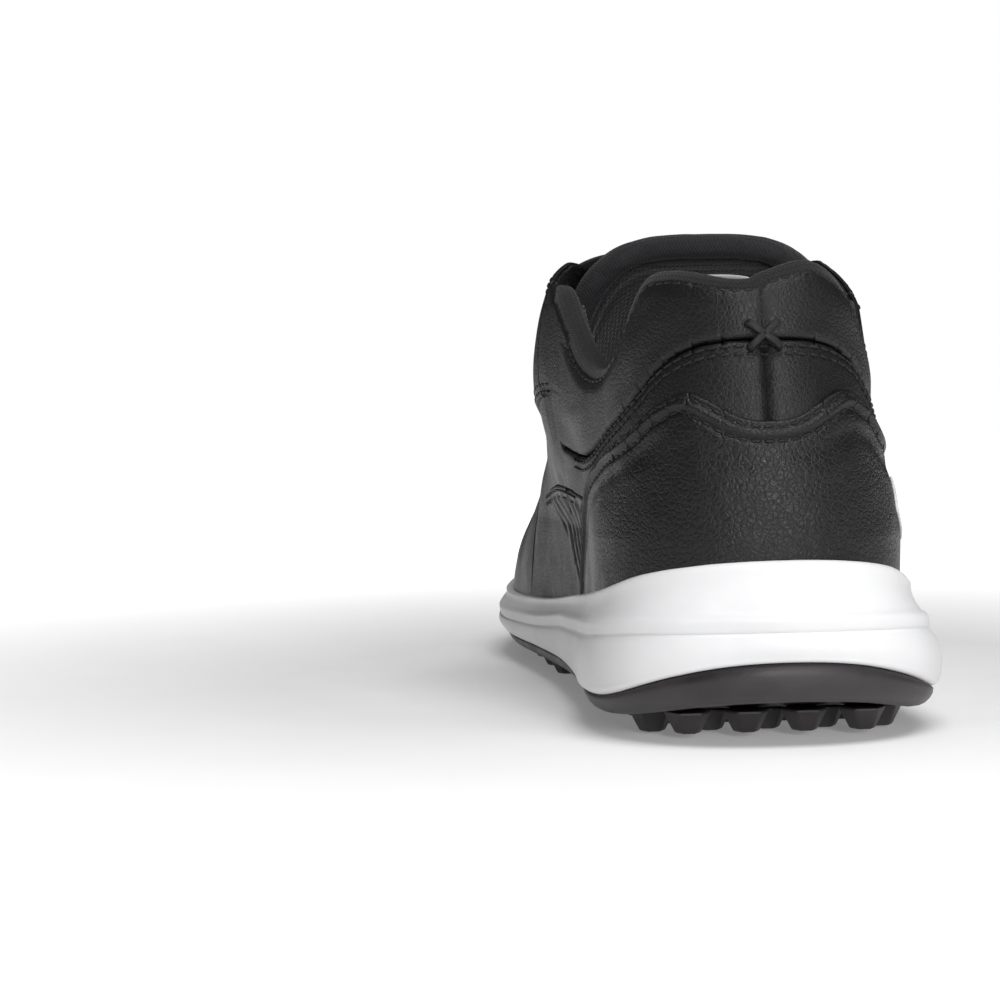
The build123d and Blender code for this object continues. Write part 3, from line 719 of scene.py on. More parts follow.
folds = 0.16 * np.sin((hz + 0.22 * hx) / 1.9 + 2.5 * noise(HP, 16, 22))
folds = folds * np.exp(-(((panel_edge - 9) / 4.5) ** 2)) * (hy < 45)
heel_height = 1.45 + roll - rows_dip - slack + folds + noise(HP, 15, 23) * 0.35 + noise(HP, 5, 24) * 0.10
heel_keep = np.minimum(panel_edge, surface_distance(hz - sole_top(hy) + 7, HP))
heel_panel = panel("heel_panel_leather", heel_skin, heel_keep, heel_height, 0.1, [heel_leather.material], 1.3)
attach(heel_panel, "shoe")
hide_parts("heel_panel")

# ---------------------------------------------------------------- side panels
# Leather pressed with a close wavy rib, sewn between the heel panel and the vamp on both sides.  The thread
# runs along its upper edge, and its lower edge goes down into the sole's cup.
side_panel_top = smooth((60, 50), (88, 54), (130, 55), (160, 49), (178, 36), (192, 12), (200, 0))
ribbed_leather = tumbled_leather("ribbed_leather", 0.8, 0.00008, black, 0.36)
side_edge = surface_distance(side_panel_top(Y) - Z, P)
heel_gap = surface_distance(Z - heel_panel_top(Y - 1.2) - 0.7, P)
front_line = surface_distance(Z - 26 - (Y - 92) * 0.52, P)
wave_phase = (Y - 1.6 * Z) / 1.45 + 1.2 * np.sin(Z / 3.6 + Y / 15)
ribs = 0.75 * (0.5 + 0.5 * np.sin(wave_phase)) ** 0.7 * np.clip((side_edge - 2.2) / 1.5, 0, 1)
region = np.minimum(np.minimum(np.minimum(side_edge, heel_gap), front_line), -in_sole)
ribbed_face = 1.05 + ribs + noise(P, 18, 31) * 0.2
pair_of_panels("side", region, ribbed_face, 0.1, ribbed_leather, 1.0, "side_panel")

# ---------------------------------------------------------------- eyestays
# The two reinforced flaps either side of the tongue, with a stiff tape glued behind the leather.  They are
# sewn to the quarters round their edge, and each has a row of punched eyelets.
eyestay_foot = smooth((82, 76), (96, 79), (120, 77), (150, 70), (175, 63), (195, 60.5), (208, 68))
eyelet_ys = (122.0, 136.5, 150.5, 164.0, 177.0)


def eyelet(side, y):
    return upper_middle(y) + side * (throat_width(y) + 7.5), y


stay_edge = surface_distance(Z - eyestay_foot(Y), P)
eyelet_gap = np.full(Y.shape, 50.0)
for y in eyelet_ys:
    for side in (INNER, OUTER):
        from_hole = np.hypot(X - eyelet(side, y)[0], (Y - y) * 1.15) - 2.1
        eyelet_gap = np.minimum(eyelet_gap, np.where(Z > 55, from_hole, 50))
punched = 0.35 * np.exp(-((eyelet_gap / 1.2) ** 2))
region = np.minimum(np.minimum(stay_edge, below_top - 0.2), np.minimum(off_throat, eyelet_gap))
region = np.minimum(np.minimum(region, surface_distance(Y - 82.0, P)), from_middle - 0.2)
stay_face = 1.5 + draped * 0.6 - punched - 0.3 * np.exp(-(((stay_edge - 2) / 0.6) ** 2))
pair_of_panels("eyestay", region, stay_face, 0.1, main_leather, 1.3, "eyestay", "eyestay_backing")

# ---------------------------------------------------------------- collar band
# A tape of close black knit folded over the whole top line, glued down inside and out and sewn through,
# with foam behind it that fills it out into a soft round edge.


def knitted(name, tone, rib_mm, row_mm, depth):
    """A close knit read from the piece's own map: u runs along the tape, v across it, both in metres."""
    cloth = Finish(name, Specular_IOR_Level=0.25, Sheen_Weight=0.12, Sheen_Roughness=0.5)
    across = cloth.node("SeparateXYZ", {}, {0: cloth.node("UVMap", {"uv_map": "weave"})})
    along = Value(cloth, across.socket.node.outputs[0])
    over = Value(cloth, across.socket.node.outputs[1])
    loops = cloth.node("Math", {"operation": "SINE"}, {0: along * (2 * math.pi / (rib_mm * 0.001))})
    courses = cloth.node("Math", {"operation": "SINE"}, {0: over * (2 * math.pi / (row_mm * 0.001)) + loops * 0.8})
    height = loops * courses * 0.5 + 0.5
    fuzz = cloth.lumps(900, 3)
    cloth.feed(
        Base_Color=cloth.ramp(height * 0.7 + fuzz * 0.3, (0.2, tuple(c * 0.5 for c in tone)), (0.85, tone)),
        Roughness=cloth.ramp(fuzz, (0.2, 0.92), (0.8, 0.75)),
    )
    return cloth.bump(height * 0.8 + fuzz * 0.3, depth, 0.9)


def weave_map(piece, along, across):
    """Lays the weave map: one (along, across) pair in millimetres for each vertex."""
    layer = piece.data.uv_layers.new(name="weave")
    index = np.zeros(len(piece.data.loops), int)
    piece.data.loops.foreach_get("vertex_index", index)
    pairs = np.stack([np.asarray(along)[index], np.asarray(across)[index]], -1) * 0.001
    layer.data.foreach_set("uv", pairs.ravel())


def crossing(field, side, station, points):
    """Where a field crosses zero on its way up the wall at one station."""
    f = field[side, station]
    turn = np.where((f[:-1] > 0) & (f[1:] <= 0))[0]
    if len(turn) == 0:
        return None
    m = turn[0]
    t = f[m] / (f[m] - f[m + 1])
    p = points[side, station]
    return p[m] * (1 - t) + p[m + 1] * t


tape_cloth = knitted("knitted_tape", (0.014, 0.014, 0.015), 1.05, 1.3, 0.00022)
edge_out = under_top(P, 3.9)
nodes_out = []
for side in (0, 1):
    line = []
    for k in range(P.shape[1]):
        p = crossing(edge_out, side, k, P)
        if p is not None and p[1] < 101:
            m = int(np.argmin(np.linalg.norm(P[side, k] - p, axis=1)))
            line.append(np.r_[p, N[side, k, m]])
    nodes_out.append(np.array(line))
line = np.concatenate([nodes_out[0][::-1], nodes_out[1][1:]])
run = np.r_[0, np.cumsum(np.linalg.norm(np.diff(line[:, :3], axis=0), axis=1))]
at = np.linspace(0, run[-1], 330)
line = np.stack([np.interp(at, run, line[:, k]) for k in range(6)], -1)
kernel = np.hanning(9) / np.hanning(9).sum()
for k in range(6):
    line[4:-4, k] = np.convolve(line[:, k], kernel, "same")[4:-4]
base, outward = line[:, :3], unit(line[:, 3:])
tangent = unit(np.gradient(base, axis=0))
upward = unit(np.cross(tangent, outward))
upward *= np.sign(upward[:, 2:3])
verts, alongs, acrosses = [], [], []
turns = np.linspace(0, math.pi, 17)
thick, tall = 3.35, 4.5
for k in range(len(at)):
    puff = 1 + 0.03 * math.sin(at[k] / 4.1) + 0.03 * math.sin(at[k] / 9.7)
    for a in turns:
        out = math.copysign(abs(math.cos(a)) ** 0.75, math.cos(a)) * thick * puff
        up = tall * puff * math.sin(a) ** 0.72 - (0.9 if a in (0, math.pi) else 0)
        verts.append(base[k] + outward[k] * (out - 2.45) + upward[k] * up)
        alongs.append(at[k])
        acrosses.append(a * 4.0)
    verts.append(base[k] + outward[k] * -2.45 + upward[k] * -1.2)
    alongs.append(at[k])
    acrosses.append(0)
n = len(turns) + 1
faces = []
for k in range(len(at) - 1):
    a = k * n
    faces += [(a + i, a + n + i, a + n + (i + 1) % n, a + (i + 1) % n) for i in range(n)]
faces += [tuple(range(n)), tuple(range((len(at) - 1) * n, len(at) * n))[::-1]]
band = new_mesh("collar_tape", verts, faces, [tape_cloth.material])
weave_map(band, alongs, acrosses)
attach(band, "shoe")
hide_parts("collar_binding")

# ---------------------------------------------------------------- lining
# A black spacer mesh glued inside the whole upper and sewn in along the top line.  Round the heel it lies
# over the collar's foam, which pads it out.


def mesh_cloth(name, tone, hole_mm, depth):
    """Knit with rows of small round holes, so far apart."""
    cloth = Finish(name, Specular_IOR_Level=0.2, Sheen_Weight=0.25)
    spacing = {"Vector": cloth.place, "Scale": 1000 / hole_mm, "Randomness": 0.25}
    holes = cloth.node("TexVoronoi", {"feature": "F1"}, spacing)
    yarn = cloth.lumps(1400, 3)
    height = cloth.ramp(holes, (0.18, 0.0), (0.5, 1.0)) * 0.8 + yarn * 0.25
    cloth.feed(
        Base_Color=cloth.ramp(height, (0.1, tuple(c * 0.35 for c in tone)), (0.8, tone)),
        Roughness=cloth.ramp(yarn, (0.2, 0.95), (0.8, 0.8)),
    )
    return cloth.bump(height, depth, 0.9)


floor_line = smooth((0, 22.5), (60, 21.5), (110, 18), (160, 13.5), (215, 11.5), (260, 13), (302, 19.5))
lining_cloth = mesh_cloth("lining_mesh", (0.022, 0.022, 0.024), 1.15, 0.00025)
inside_skin = last_skin(-5.4, 300, 110)
PI = inside_skin[0]
pad_zone = np.clip((PI[..., 2] - 52) / 14, 0, 1) * np.clip((104 - PI[..., 1]) / 30, 0, 1)
tucked = surface_distance(under_top(PI, 3.0), PI)
floor_in = surface_distance(PI[..., 2] - floor_line(PI[..., 1]) - 1.7, PI)
keep_in = np.minimum(np.minimum(tucked, floor_in), np.where(PI[..., 1] > 92, around_throat(PI), 20))
padded_in = -0.1 - pad_zone * np.clip(tucked / 9, 0, 1)
lining = panel("mesh_lining", inside_skin, keep_in, 0.7, padded_in, [lining_cloth.material], 0.4)
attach(lining, "shoe")
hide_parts("collar_lining", "vamp_lining")

# ---------------------------------------------------------------- insole
# A loose footbed of soft grey foam faced with black knit, the two glued to each other and to nothing else.
# It lies on the board under the foot and lifts out by its heel.


def footbed(name, low, high, dish, material):
    """A slab between two heights over the floor, dished up at its edge, inside the lining."""
    stations, across = 120, 24
    t = (1 - np.cos(np.linspace(0.04, math.pi - 0.04, stations))) / 2
    y = 14.8 + (289.6 - 14.8) * t
    lines = []
    for lift in (low, high):
        z = floor_line(y) + lift
        left, right = face_x(INNER, y, z + 3, -6.4), face_x(OUTER, y, z + 3, -6.4)
        share = (1 - np.cos(np.linspace(0, math.pi, across)))[None, :] / 2
        x = left[:, None] + (right - left)[:, None] * share
        rise = dish * np.abs(2 * share - 1) ** 5
        if lift == high:
            rise = rise - 0.5 * np.exp(-(((x + 3) / 16) ** 2 + ((y[:, None] - 45) / 22) ** 2))
        lines.append(np.stack([x, np.broadcast_to(y[:, None], x.shape), z[:, None] + rise], -1))
    bottom, top = lines
    count = stations * across
    verts = np.concatenate([bottom.reshape(-1, 3), top.reshape(-1, 3)])
    i, k = np.meshgrid(np.arange(stations - 1), np.arange(across - 1), indexing="ij")
    a = (i * across + k).ravel()
    low_faces = np.stack([a, a + across, a + across + 1, a + 1], 1)
    faces = low_faces.tolist() + (low_faces[:, ::-1] + count).tolist()
    edge = [(r, 0) for r in range(stations)] + [(stations - 1, c) for c in range(1, across)]
    edge += [(r, across - 1) for r in range(stations - 2, -1, -1)] + [(0, c) for c in range(across - 2, 0, -1)]
    edge = [r * across + c for r, c in edge]
    faces += [(p, p + count, q + count, q) for p, q in zip(edge, edge[1:] + edge[:1])]
    return new_mesh(name, verts, faces, [material])


foam = Finish("grey_cushion_foam", Specular_IOR_Level=0.25)
cells = foam.lumps(1900, 3)
foam.feed(
    Base_Color=foam.ramp(cells, (0.3, (0.05, 0.05, 0.055)), (0.75, (0.12, 0.12, 0.13))),
    Roughness=foam.ramp(cells, (0.3, 0.95), (0.7, 0.8)),
).bump(cells, 0.0003, 0.8)
bed_cloth = mesh_cloth("footbed_knit", (0.035, 0.035, 0.038), 0.9, 0.00015)
bed_foam = footbed("insole_foam_bed", 1.75, 5.7, 0.6, foam.material)
bed_top = footbed("insole_knit_cover", 5.75, 6.6, 0.6, bed_cloth.material)
for piece, node, slot in ((bed_foam, "insole_foam", "grey_foam"), (bed_top, "insole_cloth", "insole_knit")):
    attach(piece, "insole")
    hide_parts(node)

# ---------------------------------------------------------------- hidden stiffening
# Board under the foot, the heel counter and toe puff, and the foam behind the collar.
# They are glued between leather and lining, and keep the shapes that they were moulded to.
board = Finish("fibre_board", Specular_IOR_Level=0.3)
fibres = board.lumps(700, 4, 0.7)
board.feed(
    Base_Color=board.ramp(fibres, (0.3, (0.34, 0.29, 0.22)), (0.7, (0.52, 0.46, 0.37))),
    Roughness=board.ramp(fibres, (0.3, 0.9), (0.7, 0.75)),
).bump(fibres, 0.00015, 0.7)
backing = Finish("stiff_backing", Specular_IOR_Level=0.35)
weave = backing.lumps(1300, 2)
backing.feed(
    Base_Color=backing.ramp(weave, (0.3, (0.10, 0.10, 0.10)), (0.7, (0.17, 0.17, 0.17))),
    Roughness=backing.ramp(weave, (0.3, 0.8), (0.7, 0.6)),
).bump(weave, 0.00012, 0.7)
for node in ("strobel_board", "heel_counter", "toe_puff", "collar_foam"):
    finish = {"strobel_board": board, "collar_foam": foam}.get(node, backing)
    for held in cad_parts[node].material_slots:
        held.material = finish.material

# ---------------------------------------------------------------- tongue
# A broad foam-filled pad under the lacing, leather outside and mesh inside, sewn to the vamp at its foot.
# A fat knitted roll finishes its free end, and a blank white label is sewn inside.
tongue_width = smooth((100, 40), (112, 40), (125, 36.5), (150, 30), (165, 25), (180, 18), (188, 14))
tongue_skin = last_skin(-9.7, 330, 150)
TP = tongue_skin[0]
flare = np.clip((134 - TP[..., 1]) / 26, 0, 1) ** 2
TP[..., 0] += (TP[..., 0] - upper_middle(TP[..., 1])) * 0.2 * flare
tx, ty, tz = TP[..., 0], TP[..., 1], TP[..., 2]
tip_gap = ty - 105.6 - 3.2 * np.clip(np.abs(tx - upper_middle(ty) + 2) / 36, 0, 1) ** 3
tip_gap = np.where(tz > 60, tip_gap, -9)
beside = tongue_width(ty) - np.abs(tx - upper_middle(ty)) + 4 * flare
beside = np.minimum(beside, tz - np.interp(ty, (105, 130, 150, 188), (94, 84, 70, 50)))
away = surface_distance(tip_gap, TP)
body_keep = np.minimum(np.minimum(surface_distance(beside, TP), away - 4.4), surface_distance(188.0 - ty, TP))
quilt = 0.55 * np.exp(-(((away - 9.5) / 1.2) ** 2))
plump = 3.0 + 0.4 * np.clip(body_keep / 12, 0, 1) - quilt + noise(TP, 13, 41) * 0.35
two_faces = [main_leather.material, lining_cloth.material]
tongue = panel("tongue_pad", tongue_skin, body_keep, plump, -plump - 0.1, two_faces, 4.0, True)
centres = np.array([tuple(f.center) for f in tongue.data.polygons]) * 1000 + (MIDDLE_X, LENGTH / 2, 0)
facing = np.array([tuple(f.normal) for f in tongue.data.polygons])
axis = np.stack([upper_middle(centres[:, 1]), centres[:, 1] - 12, crest(centres[:, 1], -40)], -1)
tongue.data.polygons.foreach_set("material_index", (((centres - axis) * facing).sum(1) < 0).astype(int))
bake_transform(tongue)
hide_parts("tongue_outer", "tongue_foam", "tongue_lining")

rim_cloth = knitted("tongue_roll_knit", (0.017, 0.0165, 0.019), 0.9, 1.1, 0.00025)
rim_keep = np.minimum(np.minimum(away, 5.6 - away), surface_distance(beside + 0.4, TP))
ripple = noise(TP, 3.0, 43) * 0.12
outer_face, inner_face = 3.7 + ripple, -3.6 + ripple
roll_pad = panel("tongue_roll", tongue_skin, rim_keep, outer_face, inner_face, [rim_cloth.material], 2.8, True)
spots = np.array([tuple(v.co) for v in roll_pad.data.vertices]) * 1000
weave_map(roll_pad, spots[:, 0] + spots[:, 2] * 0.6, spots[:, 1])
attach(roll_pad, "tongue")
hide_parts("tongue_rim")

label_cloth = Finish("white_woven_label", Specular_IOR_Level=0.3, Sheen_Weight=0.2)
picks = label_cloth.lumps(2200, 2)
label_cloth.feed(
    Base_Color=label_cloth.ramp(picks, (0.3, (0.62, 0.62, 0.64)), (0.7, (0.78, 0.78, 0.80))),
    Roughness=label_cloth.ramp(picks, (0.3, 0.85), (0.7, 0.7)),
).bump(picks, 0.0001, 0.6)
label_skin = last_skin(-13.4, 330, 150)
LP = label_skin[0]
sides_gap = 13.0 - np.abs(LP[..., 0] - (upper_middle(LP[..., 1]) + 2.0))
label_keep = np.where(LP[..., 2] > 70, np.minimum(sides_gap, 4.6 - np.abs(LP[..., 1] - 117.2)), -5)
label_keep = surface_distance(label_keep, LP)
label = panel("tongue_label", label_skin, label_keep, 0.1, -0.55, [label_cloth.material], 0.3)
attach(label, "tongue")
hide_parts("tongue_label")

# ---------------------------------------------------------------- lace
# One flat lace of woven black yarn, crossed up through five pairs of eyelets and drawn snug over the
# tongue.  Its ends go down through the last eyelets, so the shoe holds it all the way.


def roof(x, y, offset):
    """Height of the last's top over spots, by halving."""
    high = crest(y, offset)
    low = high - 34
    for _ in range(26):
        z = (low + high) / 2
        within = (face_x(OUTER, y, z, offset) > x) & (face_x(INNER, y, z, offset) < x)
        low, high = np.where(within, z, low), np.where(within, high, z)
    return (low + high) / 2


lace_cord = knitted("woven_lace", (0.022, 0.022, 0.024), 0.8, 0.9, 0.00018)
verts, faces, alongs, acrosses = [], [], [], []
profile = np.linspace(0, 2 * math.pi, 17)[:-1]


def lay_ribbon(path, up, width, thick):
    """Adds a closed flat ribbon along a path; up is the way its face looks at each step."""
    tangent = unit(np.gradient(path, axis=0))
    side = unit(np.cross(tangent, up))
    face = np.cross(side, tangent)
    run = np.r_[0, np.cumsum(np.linalg.norm(np.diff(path, axis=0), axis=1))]
    first, n = len(verts), len(profile)
    for k, p in enumerate(path):
        for a in profile:
            c, s = math.cos(a), math.sin(a)
            u = width / 2 * math.copysign(abs(c) ** 0.5, c)
            verts.append(p + side[k] * u + face[k] * thick / 2 * math.copysign(abs(s) ** 0.8, s))
            alongs.append(run[k])
            acrosses.append(u)
    for k in range(len(path) - 1):
        a = first + k * n
        faces.extend((a + i, a + (i + 1) % n, a + n + (i + 1) % n, a + n + i) for i in range(n))
    faces.append(tuple(range(first, first + n))[::-1])
    faces.append(tuple(range(first + (len(path) - 1) * n, first + len(path) * n)))


def lace_run(x0, y0, x1, y1, over):
    """Lays one crossing from eyelet to eyelet; over lifts it where it passes another."""
    t = np.linspace(0, 1, 56)
    x, y = x0 + (x1 - x0) * t, y0 + (y1 - y0) * t
    ends = np.minimum(t, 1 - t) * math.hypot(x1 - x0, y1 - y0)
    offset = 2.7 - 5.2 * np.exp(-((ends / 1.7) ** 2)) + over * np.exp(-(((x - upper_middle(y)) / 6.5) ** 2))
    z = roof(x, y, 0.0)
    slope_x = (roof(x + 0.4, y, 0.0) - roof(x - 0.4, y, 0.0)) / 0.8
    slope_y = (roof(x, y + 0.4, 0.0) - roof(x, y - 0.4, 0.0)) / 0.8
    up = unit(np.stack([-slope_x, -slope_y, np.ones_like(x)], -1))
    lay_ribbon(np.stack([x, y, z], -1) + up * offset[:, None], up, 5.4, 1.3)


for k in range(len(eyelet_ys) - 1):
    near, far = eyelet_ys[k], eyelet_ys[k + 1]
    lace_run(*eyelet(INNER, near), *eyelet(OUTER, far), 0.8 if k % 2 else -0.7)
    lace_run(*eyelet(OUTER, near), *eyelet(INNER, far), -0.7 if k % 2 else 0.8)
lace_run(*eyelet(INNER, eyelet_ys[-1]), *eyelet(OUTER, eyelet_ys[-1]), 0)
lace = new_mesh("lace", verts, faces, [lace_cord.material])
weave_map(lace, alongs, acrosses)
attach(lace, "shoe")
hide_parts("lace")

# ---------------------------------------------------------------- thread
# Bonded black thread along every seam, in two rows where a panel takes load.  It is one locked stitch after
# another, pulled a little into the leather.
thread = Finish("bonded_thread", Specular_IOR_Level=0.3)
twist = {"wave_type": "BANDS", "bands_direction": "DIAGONAL"}
ply = thread.node("TexWave", twist, {"Vector": thread.place, "Scale": 900.0})
thread.feed(
    Base_Color=thread.ramp(thread.lumps(300), (0.3, (0.006, 0.006, 0.0065)), (0.7, (0.014, 0.014, 0.015))),
    Roughness=thread.ramp(thread.lumps(700), (0.3, 0.42), (0.7, 0.58)),
).bump(ply, 0.0001, 0.7)


def seam_line(field, height, side, low_y, high_y, sunk, on=skin):
    """The line on a panel's face where a field falls through zero going up, on one side of the shoe."""
    line = []
    P, N = on
    for k in range(P.shape[1]):
        f = field[side, k]
        turn = np.where((f[:-1] > 0) & (f[1:] <= 0))[0]
        if len(turn):
            m = turn[0]
            t = f[m] / (f[m] - f[m + 1])
            h = height[side, k, m] * (1 - t) + height[side, k, m + 1] * t + sunk
            p = P[side, k, m] * (1 - t) + P[side, k, m + 1] * t
            if low_y <= p[1] <= high_y and (not line or np.linalg.norm(p + N[side, k, m] * h - line[-1]) < 12):
                line.append(p + N[side, k, m] * h)
    return line


def whole(value):
    """A panel face of one height."""
    return np.broadcast_to(value, Y.shape)


rows_of_thread = []
for side in (0, 1):
    for inset in (1.5, 4.6):
        rows_of_thread.append(seam_line(panel_edge - inset, heel_height, side, 4, 88, 0.0, heel_skin))
    for inset in (1.5, 3.4):
        rows_of_thread.append(seam_line(side_edge - inset, whole(1.05), side, 92, 150, 0.05))
        rows_of_thread.append(seam_line(under_arc - inset, quarter_face, side, 4, 86, 0.1))
        rows_of_thread.append(seam_line(inset - stay_edge, whole(1.4), side, 98, 190, 0.05))
    rows_of_thread.append(seam_line(to_band + 0.4, collar_face, side, 4, 96, -0.1))
    stay_rim = np.minimum(off_throat, below_top) - 2.2
    rows_of_thread.append(seam_line(stay_rim, whole(1.5), side, 100, 184, 0.0))
verts, edges = [], []
for line in rows_of_thread:
    if len(line) > 6:
        line = np.array(line)
        soft = line.copy()
        for k in range(3):
            soft[2:-2, k] = np.convolve(line[:, k], (0.1, 0.2, 0.4, 0.2, 0.1), "same")[2:-2]
        edges += [(len(verts) + i, len(verts) + i + 1) for i in range(len(soft) - 1)]
        verts += list(soft)
seams = new_mesh("seam_paths", verts, [], [])
seams.data.edges.add(len(edges))
seams.data.edges.foreach_set("vertices", np.array(edges).ravel())
stitches = Tree("stitches", Stitch_pitch=0.0030, Stitch_length=0.0025, Thread_radius=0.00042)
curve = stitches.node("GeometryNodeMeshToCurve", {}, {0: stitches.inputs["Geometry"]})[0]
spaced = stitches.node(
    "GeometryNodeCurveToPoints", {"mode": "LENGTH"}, {"Curve": curve, "Length": stitches.inputs["Stitch pitch"]}
)
ball = stitches.node("GeometryNodeMeshUVSphere", {}, {"Segments": 10, "Rings": 8, "Radius": 1.0})[0]
half = stitches.node("ShaderNodeMath", {"operation": "MULTIPLY"}, {0: stitches.inputs["Stitch length"], 1: 0.5})[0]
size = stitches.node(
    "ShaderNodeCombineXYZ", {}, {0: stitches.inputs["Thread radius"], 1: stitches.inputs["Thread radius"], 2: half}
)[0]
one = stitches.node("GeometryNodeTransform", {}, {"Geometry": ball, "Scale": size})[0]
laid = stitches.node(
    "GeometryNodeInstanceOnPoints", {},
    {"Points": spaced["Points"], "Instance": one, "Rotation": spaced["Rotation"]},
)[0]
thread_rows = grown("seam_thread", seams, stitches.finish(laid, thread.material))
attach(thread_rows, "shoe")

# ---------------------------------------------------------------- cross stitch
# Four short bars of thick waxed cord at the top of the heel's middle seam.  They are pulled through holes
# where the two halves of the collar meet, and lock them together.


def heel_spot(x, z, lift):
    """A spot on the back of the heel at one x and height, lifted off the skin."""
    near = np.where(Y < 45, (X - x) ** 2 + (Z - z) ** 2, 1e9)
    picks = np.argsort(near.ravel())[:6]
    weight = 1 / (near.ravel()[picks] + 0.3)
    weight /= weight.sum()
    p = (P.reshape(-1, 3)[picks] * weight[:, None]).sum(0)
    n = unit((N.reshape(-1, 3)[picks] * weight[:, None]).sum(0))
    return np.array([x, p[1], z]) + n * lift, n


cross_x, cross_z = -3.5, 90.4
verts, faces, alongs, acrosses = [], [], [], []
for k, (ax, az) in enumerate(((-3.7, 3.0), (3.5, 3.1), (3.7, -3.0), (-3.3, -3.2))):
    t = np.linspace(0, 1, 22)
    path, ups = [], []
    for q in t:
        r = 0.06 + 0.94 * q
        lift = 1.7 + 0.5 * math.sin(math.pi * min(r * 1.05, 1)) - 2.4 * max(q - 0.82, 0) / 0.18
        p, n = heel_spot(cross_x + ax * r, cross_z + az * r, lift)
        path.append(p)
        ups.append(n)
    lay_ribbon(np.array(path), np.array(ups), 1.7, 1.35)
cross = new_mesh("cross_stitch", verts, faces, [thread.material])
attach(cross, "shoe")
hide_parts("cross_stitch")

# ---------------------------------------------------------------- emblem
# A plain lozenge outline on the outer side of the heel panel, in white ink printed thick enough to feel.
# It is laid on after the panel is cut and before the shoe is lasted.
ink = Finish("raised_white_ink", Specular_IOR_Level=0.4)
print_grain = ink.lumps(900, 3)
ink.feed(
    Base_Color=ink.ramp(print_grain, (0.3, (0.55, 0.55, 0.56)), (0.7, (0.70, 0.70, 0.71))),
    Roughness=ink.ramp(print_grain, (0.3, 0.5), (0.7, 0.38)),
).bump(print_grain, 0.00008, 0.6)


def skin_at(side, y, z):
    """Spots on one side's skin and the way they face."""
    x = face_x(side, y, z, 0.0)
    dy = (face_x(side, y + 0.3, z, 0.0) - face_x(side, y - 0.3, z, 0.0)) / 0.6
    dz = (face_x(side, y, z + 0.3, 0.0) - face_x(side, y, z - 0.3, 0.0)) / 0.6
    return np.stack([x, y, z], -1), unit(np.stack([np.full(x.shape, float(side)), -side * dy, -side * dz], -1))


verts, faces = [], []
turn = np.linspace(0, 2 * math.pi, 161)
reach = 1 / (np.abs(np.cos(turn)) ** 1.15 + np.abs(np.sin(turn)) ** 1.15) ** (1 / 1.15)
spot, facing = skin_at(OUTER, 39 + 8.2 * reach * np.cos(turn), 50 + 6.7 * reach * np.sin(turn))
n = 8
for k in range(len(turn) - 1):
    tangent = unit(spot[(k + 1) % 160] - spot[k - 1 if k else 159])
    side = np.cross(tangent, facing[k])
    for a in np.linspace(0, 2 * math.pi, n + 1)[:-1]:
        verts.append(spot[k] + facing[k] * (1.8 + 0.4 * math.sin(a)) + side * 0.8 * math.cos(a))
for k in range(160):
    a, b = k * n, ((k + 1) % 160) * n
    faces += [(a + i, a + (i + 1) % n, b + (i + 1) % n, b + i) for i in range(n)]
emblem = new_mesh("heel_emblem", verts, faces, [ink.material])
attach(emblem, "shoe")
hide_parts("heel_emblem")

# ---------------------------------------------------------------- studio
# White paper for the shoe to stand on, with a painted glow in it that is faint near the shoe and full white
# further off, two soft boxes above and in front, and a dim even room that looks white behind.  The floor is where
# the lowest lugs' tips are.
lug_tips = -1.18
glowing_paper = Finish("white_paper_painted_glow", Specular_IOR_Level=0.1)
reach = glowing_paper.node("VectorMath", {"operation": "LENGTH"}, {0: glowing_paper.place}, out="Value")
glowing_paper.feed(
    Base_Color=glowing_paper.ramp(glowing_paper.lumps(40, 3), (0.3, (0.78, 0.78, 0.78)), (0.7, (0.80, 0.80, 0.80))),
    Roughness=glowing_paper.ramp(glowing_paper.lumps(60, 3), (0.3, 0.9), (0.7, 0.8)),
    # Painted light: the paper glows by its distance from the shoe's middle, faintly out to 0.12 m and full white
    # from 0.5 m.
    Emission_Color=glowing_paper.ramp(reach, (0.12, 0.18), (0.5, 1.0)),
)
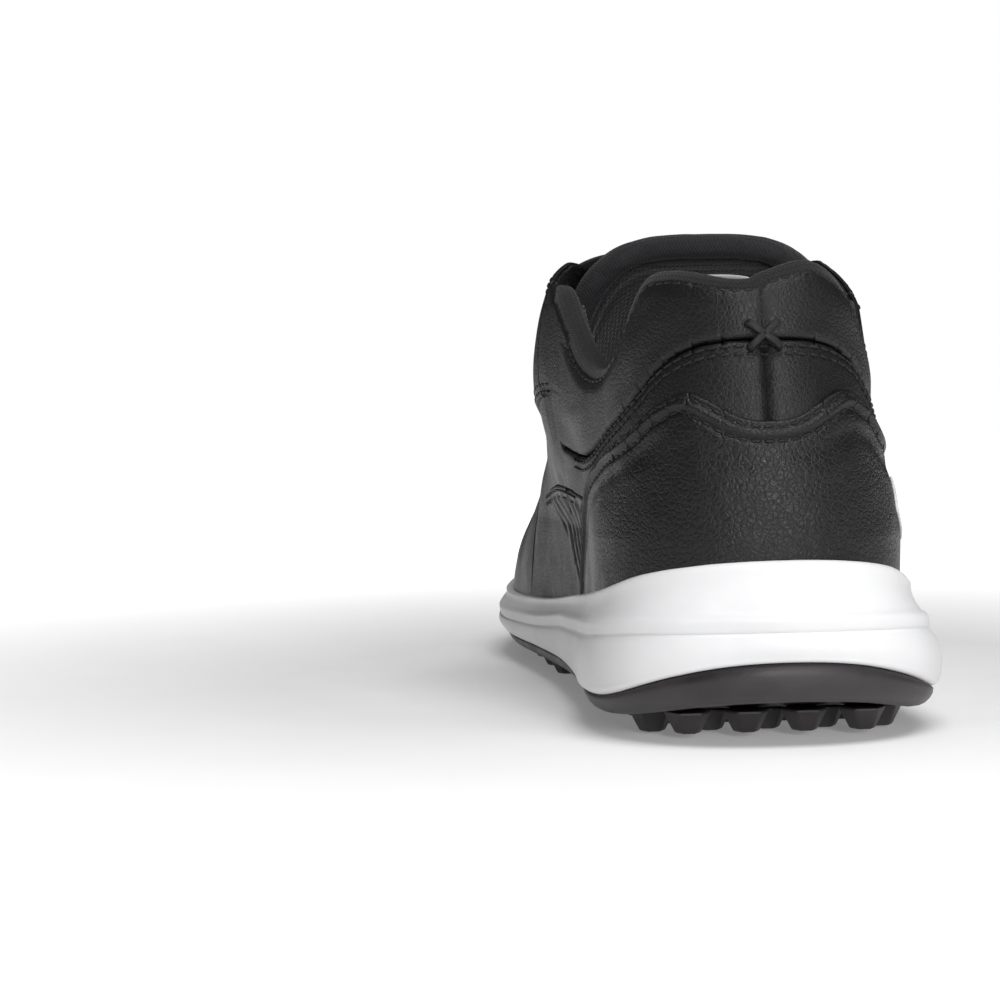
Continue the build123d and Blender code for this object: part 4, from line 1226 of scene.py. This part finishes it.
glowing_paper.shader.inputs["Emission Strength"].default_value = 1.0
corners = [(x, y, lug_tips) for x, y in ((-2e4, -2e4), (2e4, -2e4), (2e4, 2e4), (-2e4, 2e4))]
floor = new_mesh("studio_floor", corners, [(0, 1, 2, 3)], [glowing_paper.material])


def soft_box(name, place, aim, width, height, watts):
    light = bpy.data.lights.new(name, "AREA")
    light.shape, light.size, light.size_y, light.energy = "RECTANGLE", width, height, watts
    lamp = bpy.data.objects.new(name, light)
    lamp.location = place
    way = Vector(aim) - Vector(place)
    lamp.rotation_euler = way.to_track_quat("-Z", "Y").to_euler()
    bpy.context.scene.collection.objects.link(lamp)


soft_box("overhead_box", (0.1, -0.55, 1.05), (0, -0.1, 0.06), 0.8, 0.5, 9)
soft_box("front_box", (0.28, -1.6, 0.42), (0, -0.15, 0.06), 0.42, 0.4, 11)
world = bpy.data.worlds.new("white_room")
world.use_nodes = True
world.node_tree.nodes["Background"].inputs["Color"].default_value = (1, 1, 1, 1)
rays = world.node_tree.nodes.new("ShaderNodeLightPath")
seen = world.node_tree.nodes.new("ShaderNodeMath")
seen.operation = "MULTIPLY_ADD"
seen.inputs[1].default_value, seen.inputs[2].default_value = 0.93, 0.07
world.node_tree.links.new(rays.outputs["Is Camera Ray"], seen.inputs[0])
world.node_tree.links.new(seen.outputs[0], world.node_tree.nodes["Background"].inputs["Strength"])
bpy.context.scene.world = world
bpy.context.scene.view_settings.view_transform = "Standard"

camera = bpy.data.objects.new("camera", bpy.data.cameras.new("camera"))
camera.data.lens, camera.data.sensor_width = 75.6, 36.0
camera.data.clip_start, camera.data.clip_end = 0.05, 50
camera.location = (-0.0949, -0.6053, 0.0696)
forward = Vector((math.sin(math.radians(3.5)), math.cos(math.radians(3.5)), -66 / 2100)).normalized()
look = forward.to_track_quat("-Z", "Y")
camera.rotation_mode = "QUATERNION"
camera.rotation_quaternion = Quaternion(forward, 0.0192) @ look
bpy.context.scene.collection.objects.link(camera)
bpy.context.scene.camera = camera
